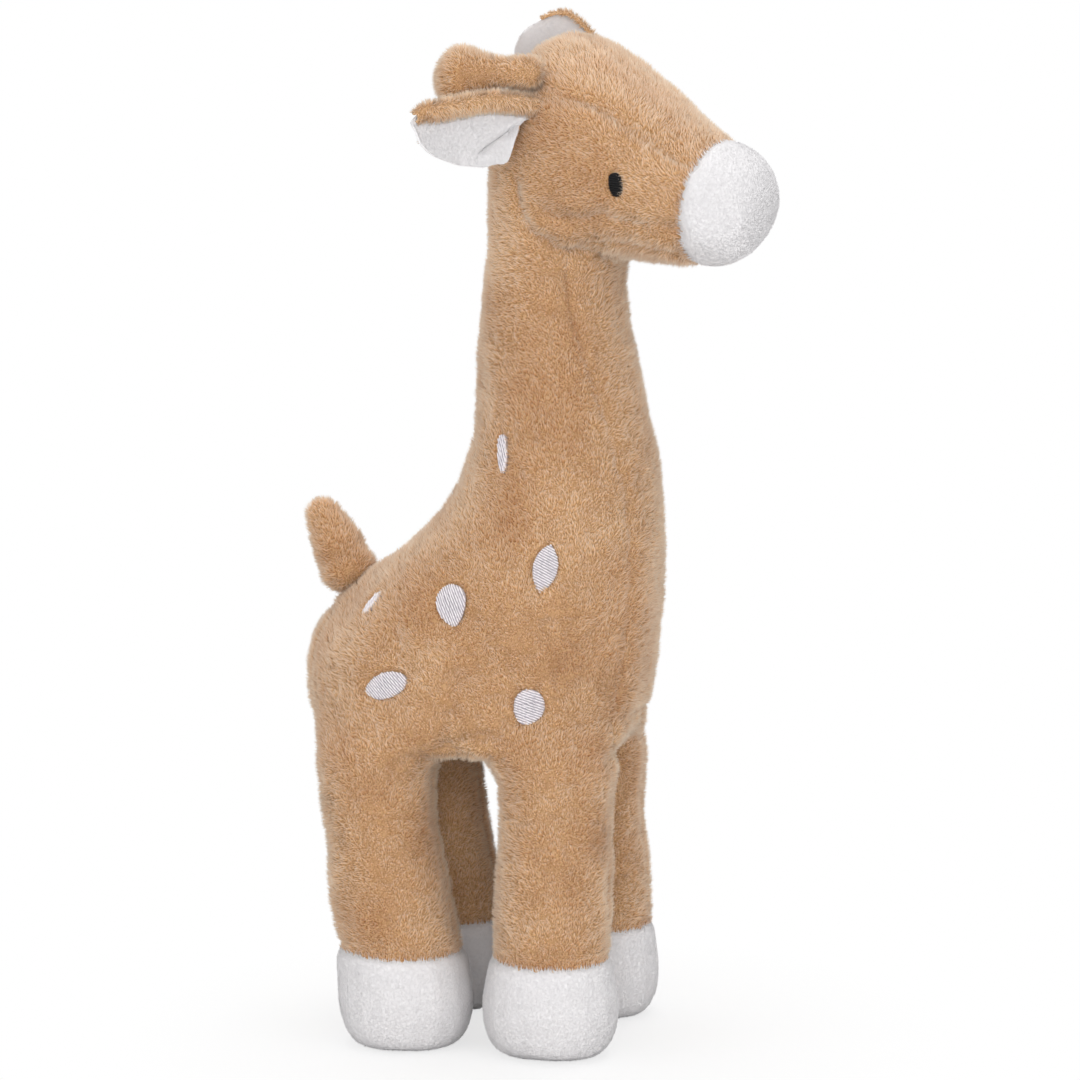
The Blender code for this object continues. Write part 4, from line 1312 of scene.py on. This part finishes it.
        # painted shade: the pile round the patch's dimple is darker
        strands.values["dark"][close] += 0.25 * round_edge
        strands.lay[close] = strands.lay[close] * (1 - 0.6 * round_edge[:, None]) + inward * 0.3 * round_edge[:, None]

    def fill(self) -> None:
        """Makes the loose filling inside the skin."""
        for name in self.fillings:
            bm = node_bmesh(name)
            move_points(bm, shrunk(bm, self.sink))
            bmesh.ops.recalc_face_normals(bm, faces=bm.faces)
            WARDROBE.dress(mesh_object(name + "_fibre", bm), Finish.FILLING, node=name)


# ---------------------------------------------------------------- horns and tail


@dataclass(frozen=True)
class Swell:
    """How a horn's or the tail's filling gives it another shape than its solid has.

    root_width and tip_width scale its width. Its round end takes a share old_cap of the solid's length and new_cap of
    its own. It lies lower by a length, and its tip moves by tip_shift.
    """

    root_width: float
    tip_width: float
    lower: float
    tip_shift: tuple[float, float, float]
    old_cap: float = 0.25
    new_cap: float = 0.25

    def shaped(self, points: np.ndarray, root: np.ndarray, axis: np.ndarray, reach: float) -> np.ndarray:
        """Gives the piece its own swell and droop.

        Args:
            points: Places, one per row.
            root: Where the piece is sewn on.
            axis: Its direction.
            reach: Its length.

        Returns:
            The shaped places.
        """
        out = (points - root) @ axis
        share = np.clip(out / reach, 0, 1)
        from_axis = points - root - out[:, None] * axis
        spread = self.root_width + (self.tip_width - self.root_width) * ease(share, 0.15, 0.75)
        was, now = (
            np.sqrt(1 - np.clip((share - 1 + cap) / cap, 0, 0.99) ** 2) for cap in (self.old_cap, self.new_cap)
        )
        points = points + from_axis * (spread * now / was - 1)[:, None] - np.array([0, 0, self.lower])
        return points + np.array(self.tip_shift) * ease(share, 0.0, 0.9)[:, None]


HORN_SWELL = Swell(0.8, 1.38, 2.0 * MM, (0.0, 0.0, -3.1 * MM), 0.2, 0.34)
TAIL_SWELL = Swell(1.18, 1.0, 1.2 * MM, (-0.4 * MM, 0.0, -1.2 * MM))


@dataclass
class StuffedPiece:
    """A small stuffed piece: horn or tail."""

    name: str
    body: str
    nap: Nap
    swell: Swell
    voxel: float = 1.0 * MM
    sink: float = 2.2 * MM
    root_sink: float = 0.35
    filling_sink: float = 1.6 * MM
    # how far the root end is pushed into the body
    tuck: float = 3.4 * MM

    def build(self) -> None:
        """Builds the piece's ground, pile and filling."""
        fabric, filling = f"{self.name}_fabric", f"{self.name}_stuffing"
        root = joint_place(self.body)[0]
        skin = even_skin((fabric, filling), self.voxel, 6)
        cloth = Cloth.of(skin)
        axis = unit(np.array(sum(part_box(fabric), Vector()) / 2) - root)
        out = (cloth.points - root) @ axis
        reach = out.max()
        depth = self.sink * (self.root_sink + (1 - self.root_sink) * ease(out, -1 * MM, 5 * MM))
        depth += 0.4 * MM * lumps(cloth.points, 9 * MM, 8)
        cloth.points = self.swell.shaped(cloth.points - cloth.normals * depth[:, None], root, axis, reach)
        out = (cloth.points - root) @ axis
        cloth.points -= axis * (self.tuck * (1 - ease(out, 0, 7 * MM)))[:, None]
        cloth.refresh()
        move_points(skin, cloth.points)
        WARDROBE.dress(mesh_object(fabric + "_ground", skin), Finish.TAN_BACKING, self.body, fabric)
        cloth.values["lay"] = np.zeros_like(cloth.points) + axis
        strands = GROWER.plant(cloth, self.nap)
        WARDROBE.dress(GROWER.grow(fabric + "_pile", strands, self.nap), Finish.TAN_PILE, self.body)
        bm = node_bmesh(filling)
        move_points(bm, self.swell.shaped(shrunk(bm, self.filling_sink), root, axis, reach))
        WARDROBE.dress(mesh_object(filling + "_fibre", bm), Finish.FILLING, self.body, filling)


HORN_NAP = Nap(2.8 * MM, 0.46 * MM, 16.0, 3.0)
TAIL_NAP = Nap(2.9 * MM, 0.46 * MM, 34.0, 3.0)


# ---------------------------------------------------------------- ears


@dataclass(frozen=True)
class EarCut:
    """How an ear is cut and curled.

    Each station gives, in millimetres, its place along the ear, the lower edge, the top of the rolled upper edge and
    the roll's radius. roll_deg says how far the upper edge rolls forward.
    """

    stations: tuple[tuple[float, float, float, float], ...]
    roll_deg: float
    cup: float
    bend: float
    pleat: float

    def at(self, share: np.ndarray) -> tuple[np.ndarray, ...]:
        """Returns place along, lower edge, top and radius at shares from 0, the root, to 1, the tip."""
        table = np.array(self.stations) * MM
        fine = np.linspace(table[0, 0], table[-1, 0], 241)
        window = np.hanning(19) / np.hanning(19).sum()
        along = table[0, 0] + share * (table[-1, 0] - table[0, 0])
        columns = []
        for column in table.T[1:]:
            level = np.pad(np.interp(fine, table[:, 0], column), 9, mode="edge")
            columns.append(np.interp(along, fine, np.convolve(level, window, mode="valid")))
        return (along, *columns)


NEAR_CUT = EarCut(
    (
        (-7.0, 2.2, 8.6, 1.9),
        (-1.7, 1.0, 9.0, 1.9),
        (1.8, -5.2, 9.3, 1.9),
        (4.0, -12.6, 9.5, 1.9),
        (6.6, -14.6, 9.6, 1.9),
        (9.6, -14.4, 9.4, 1.9),
        (14.2, -15.9, 8.9, 1.8),
        (24.2, -15.5, 6.9, 1.7),
        (27.0, -14.9, 6.2, 1.7),
        (34.2, -13.0, 4.7, 1.7),
        (38.0, -11.3, 4.2, 1.6),
        (42.0, -7.8, 2.2, 1.3),
        (43.8, -2.9, -0.4, 0.8),
    ),
    285.0, 2.0, 1.5, 0.9,
)
FAR_CUT = EarCut(
    (
        (-7.0, 2.2, 10.0, 0.8),
        (-1.7, 1.0, 10.8, 0.8),
        (0.4, -4.0, 11.4, 0.8),
        (2.5, -11.0, 12.0, 0.8),
        (6.0, -13.0, 12.8, 0.8),
        (14.0, -14.0, 13.5, 0.8),
        (21.7, -14.5, 13.8, 0.8),
        (26.7, -14.5, 13.4, 0.8),
        (30.0, -14.0, 12.0, 0.8),
        (32.5, -12.6, 9.6, 0.8),
        (34.4, -10.4, 5.0, 0.5),
        (35.9, -6.4, -2.4, 0.3),
    ),
    190.0, 1.5, 1.5, 0.6,
)


@dataclass
class Ear:
    """An ear: a leaf of two layers, tan behind and white in front, whose upper edge rolls forward."""

    side: str
    cut: EarCut
    layer: float = 0.8 * MM
    gap: float = 0.12 * MM
    rolled_from: float = 0.2
    fringe: float = 3.0 * MM
    nap: Nap = Nap(2.6 * MM, 0.44 * MM, 20.0, 3.6)
    white_nap: Nap = Nap(0.9 * MM, 0.32 * MM, 50.0, 3.6, 1.0, 0.3)

    def axes(self) -> tuple[np.ndarray, np.ndarray, np.ndarray, np.ndarray]:
        """Returns the root and the ear's own axes: along, forward and up its width."""
        root, axis = joint_place(f"{self.side}_ear")
        up = unit(axis)
        points = np.array([vert.co for vert in frame["nodes"][f"ear_inner_{self.side}"].data.vertices])
        far = points[np.argsort(np.linalg.norm(points - root, axis=1))[-8:]].mean(0)
        along = far - root
        along = unit(along - up * (along @ up))
        return root, along, np.cross(up, along), up

    def sheet(self, share: np.ndarray, across: np.ndarray) -> np.ndarray:
        """Places of the ear's middle sheet in its own axes.

        Args:
            share: 0 at the root and 1 at the tip.
            across: -1 at the lower edge and 1 at the end of the roll.

        Returns:
            Points: along, forward, up.
        """
        along, low, top, radius = self.cut.at(share)
        flat = np.clip((across + 1) / (1 + self.rolled_from), 0, 1)
        roll = math.radians(self.cut.roll_deg) * np.clip((across - self.rolled_from) / (1 - self.rolled_from), 0, 1)
        up = low + (top - radius - low) * flat + radius * np.sin(roll)
        forward = self.cut.cup * MM * (1 - flat) ** 2 + radius * (1 - np.cos(roll))
        forward -= self.cut.bend * MM * np.sin(np.clip(share, 0, 1) * math.pi)
        # the pleat runs from the root to the lower edge, and its flap lies on top
        line = (along - 6.2 * MM) * 0.545 + (up + 5.2 * MM) * 0.838
        near_root = 1 - ease(along, 12 * MM, 18 * MM)
        flap = (1 - ease(line, -0.8 * MM, 0.4 * MM)) * near_root * 1.2 * MM
        groove = np.exp(-((line / (1.5 * MM)) ** 2)) * near_root * 1.2 * MM
        forward += self.cut.pleat * (flap - groove) * (1 - ease(flat, 0.75, 1.0))
        return np.stack([along, forward, up], axis=1)

    def layer_cloth(self, front: bool, columns: int = 56, rows: int = 48) -> tuple[Cloth, bmesh.types.BMesh]:
        """Builds one layer.

        Args:
            front: Whether it is the white front layer.
            columns: Faces along the ear.
            rows: Faces across it.

        Returns:
            Its pile side, and its closed mesh.
        """
        root, long_way, ahead, up = self.axes()
        turned = np.stack([long_way, ahead, up])
        bm = bmesh.new()
        bmesh.ops.create_grid(bm, x_segments=columns, y_segments=rows, size=1)
        bmesh.ops.triangulate(bm, faces=bm.faces)
        flat = np.array([vert.co for vert in bm.verts])
        share, across = (flat[:, 0] + 1) / 2, flat[:, 1]
        world = root + self.sheet(share, across) @ turned
        cloth = Cloth.of(bm)
        cloth.points = world
        cloth.refresh()
        if (cloth.normals @ ahead)[across < 0].mean() * (1 if front else -1) < 0:
            bmesh.ops.reverse_faces(bm, faces=bm.faces)
            cloth.triangles = cloth.triangles[:, ::-1]
            cloth.normals = -cloth.normals
        # the tan layer is cut smaller at the lower edge and the tip, and the white one ends inside the roll
        cut_back = 0.0 if front else 1.0
        flat_part = 1 - ease(across, self.rolled_from - 0.1, self.rolled_from + 0.1)
        held = np.maximum(share - 0.97 + 0.07 * flat_part, 0) * cut_back
        held += 0.06 * (1 - cut_back) * (1 - flat_part) * ease(share, 0.75, 1.0)
        turned_in = np.maximum(across - self.rolled_from, 0) * (1 - 90 / self.cut.roll_deg) * (1 - cut_back)
        drawn = self.sheet(share - held, across - turned_in) @ turned + root
        edge_up = (1 - ease(across, -1.0, -0.7)) * cut_back * (1.2 + 2.0 * ease(share, 0.4, 0.8)) * MM
        cloth.points = drawn + up * edge_up[:, None] + cloth.normals * (self.gap + self.layer)
        onward = unit((self.sheet(share, np.minimum(across + 0.02, 1)) - self.sheet(share, across - 0.02)) @ turned)
        low_gap = (across + 1) / (1 + self.rolled_from) * 20 * MM
        tip_gap = (1 - share) * 40 * MM
        low_near, tip_near = (1 - ease(gap, 0, self.fringe) for gap in (low_gap, tip_gap))
        # strands turn outward round the white layer and the roll, and inward at the tan layer's hidden edges
        outward = np.where((across > self.rolled_from) | front, 1.0, -0.5)
        angle = self.cut.roll_deg * np.clip((across - self.rolled_from) / (1 - self.rolled_from), 0, 1)
        hang = cut_back * np.exp(-(((angle - min(self.cut.roll_deg, 165.0)) / 50) ** 2))
        lay = long_way * 0.25 + onward * (-0.1 if front else 0.2) - up * 2.4 * hang[:, None]
        lay = lay + long_way * (outward * tip_near * 2)[:, None] - onward * (outward * low_near * 2)[:, None]
        cloth.values["lay"] = lay
        cloth.values["lean"] = 1 + (0.1 if front else 0.4) * np.maximum(low_near, tip_near) + 1.5 * hang
        cloth.values["hang"] = hang
        cloth.values["across"] = across
        cloth.values["low_gap"] = low_gap
        cloth.values["tip_gap"] = tip_gap
        move_points(bm, cloth.points)
        back_with_knit(bm, cloth.normals, self.layer)
        return cloth, bm

    def build(self) -> None:
        """Builds both layers and their pile."""
        body = f"{self.side}_ear"
        for front, node, strand, ground, nap in (
            (True, f"ear_inner_{self.side}", Finish.WHITE_PILE, Finish.WHITE_BACKING, self.white_nap),
            (False, f"ear_outer_{self.side}", Finish.TAN_PILE, Finish.TAN_BACKING, self.nap),
        ):
            cloth, bm = self.layer_cloth(front)
            WARDROBE.dress(mesh_object(node + "_ground", bm), ground, body, node)
            strands = GROWER.plant(cloth, nap)
            values = strands.values
            values["tall"] = 1 - 0.45 * (1 - ease(values["tip_gap"], 0, 7 * MM))
            # painted light: strands that hang over the roll's edge are painted paler
            values["dark"] = -0.2 * values["hang"]
            values["tall"] *= 1 + values["hang"] * (0.1 + 0.35 * lumps(strands.roots, 3 * MM, 31))
            if front:
                strands = strands.some(values["across"] < self.rolled_from + 0.12)
            else:
                under = values["across"] < self.rolled_from
                strands = strands.some((values["low_gap"] > 1.5 * MM) & ((values["tip_gap"] > 1.5 * MM) | ~under))
            WARDROBE.dress(GROWER.grow(node + "_pile", strands, nap), strand, body)


# ---------------------------------------------------------------- studio


@dataclass
class Studio:
    """Pale floor, soft lamps and the camera."""

    azimuth_deg: float = 16.0
    distance: float = 1.2
    height: float = 0.310
    lens: float = 108.6
    sensor: float = 36.0
    aim_right: float = 0.0121
    aim_down: float = 0.1052

    def camera(self) -> None:
        """Sets the camera at the photograph's viewing angle."""
        turn = math.radians(self.azimuth_deg)
        ahead = Vector((-math.sin(turn), math.cos(turn), 0))
        right = Vector((math.cos(turn), math.sin(turn), 0))
        data = bpy.data.cameras.new("camera")
        data.sensor_width = self.sensor
        data.lens = self.lens
        eye = bpy.data.objects.new("camera", data)
        eye.location = Vector((MIDDLE.x, MIDDLE.y, self.height)) - ahead * self.distance
        aim = ahead + right * self.aim_right - Vector((0, 0, self.aim_down))
        eye.rotation_euler = aim.to_track_quat("-Z", "Y").to_euler()
        bpy.context.scene.collection.objects.link(eye)
        bpy.context.scene.camera = eye

    def floor(self) -> None:
        """Lays a matt white studio floor that fades into the background."""
        bm = bmesh.new()
        bmesh.ops.create_circle(bm, cap_ends=True, segments=96, radius=6.0)
        piece = mesh_object("studio_floor", bm)
        material, tree, shader, place = new_material("matt white studio paper")
        shader.inputs["Base Color"].default_value = linear_colour("f2f2f2")
        shader.inputs["Roughness"].default_value = 0.9
        shader.inputs["Specular IOR Level"].default_value = 0.0
        reach = add_node(tree, "ShaderNodeVectorMath", {"operation": "LENGTH"}, {0: place})
        fade = add_node(
            tree,
            "ShaderNodeMapRange",
            {"From Min": 0.06, "From Max": 0.16, "To Min": 0.7, "To Max": 1.0},
            {"Value": reach.outputs["Value"]},
        )
        rays = add_node(tree, "ShaderNodeLightPath")
        seen = maths(tree, "MULTIPLY", fade.outputs["Result"], rays.outputs["Is Camera Ray"])
        glow = add_node(tree, "ShaderNodeEmission", {"Color": (1, 1, 1, 1), "Strength": 1.0})
        mix = add_node(tree, "ShaderNodeMixShader", links={0: seen, 1: shader.outputs[0], 2: glow.outputs[0]})
        tree.links.new(mix.outputs[0], tree.nodes["Material Output"].inputs["Surface"])
        piece.data.materials.append(material)

    def lamp(self, name: str, place: tuple[float, float, float], size: float, power: float) -> None:
        """Adds a soft square lamp aimed at the toy.

        Args:
            name: The lamp's name.
            place: Where it hangs.
            size: Its side.
            power: Its power in watts.
        """
        data = bpy.data.lights.new(name, "AREA")
        data.size = size
        data.energy = power
        lamp = bpy.data.objects.new(name, data)
        lamp.location = place
        lamp.rotation_euler = (Vector((0, 0, 0.2)) - Vector(place)).to_track_quat("-Z", "Y").to_euler()
        bpy.context.scene.collection.objects.link(lamp)

    def light(self) -> None:
        """Lights the toy with wide soft lamps and a pale surround."""
        world = bpy.data.worlds.new("pale studio")
        world.use_nodes = True
        tree = world.node_tree
        rays = add_node(tree, "ShaderNodeLightPath")
        direct = maths(tree, "MAXIMUM", rays.outputs["Is Camera Ray"], rays.outputs["Is Glossy Ray"])
        direct = maths(tree, "MAXIMUM", direct, rays.outputs["Is Transmission Ray"])
        strength = add_node(tree, "ShaderNodeMapRange", {"To Min": 0.52, "To Max": 1.0}, {"Value": direct})
        ground = tree.nodes["Background"]
        ground.inputs["Color"].default_value = (1, 1, 1, 1)
        tree.links.new(strength.outputs["Result"], ground.inputs["Strength"])
        bpy.context.scene.world = world
        self.lamp("key", (-1.0, -1.5, 1.2), 1.6, 7.0)
        self.lamp("fill", (1.7, -0.9, 0.7), 1.6, 6.6)
        self.lamp("front", (0.4, -1.7, 0.35), 1.2, 12.5)
        self.lamp("top", (0.0, 0.3, 1.9), 1.6, 20.0)

    def build(self) -> None:
        """Builds the studio."""
        self.camera()
        self.floor()
        self.light()
        bpy.context.scene.view_settings.view_transform = "Standard"


def main() -> None:
    """Builds the toy and the studio."""
    logging.basicConfig(level=logging.INFO, format="%(message)s")
    Studio().build()
    patches = Embroidery().patches()
    cad = node_tree(*SewnBody().names)
    for patch in patches:
        patch.build(cad)
    SewnBody().build(patches)
    Ear("right", NEAR_CUT).build()
    Ear("left", FAR_CUT, layer=0.6 * MM, nap=Nap(1.9 * MM, 0.44 * MM, 20.0, 3.6)).build()
    for side in ("right", "left"):
        StuffedPiece(f"horn_{side}", f"{side}_horn", HORN_NAP, HORN_SWELL).build()
    StuffedPiece("tail", "tail", TAIL_NAP, TAIL_SWELL).build()
    for piece in WARDROBE.pieces:
        LOG.info("%s: %d faces", piece.name, len(piece.data.polygons))


if __name__ == "__main__":
    main()
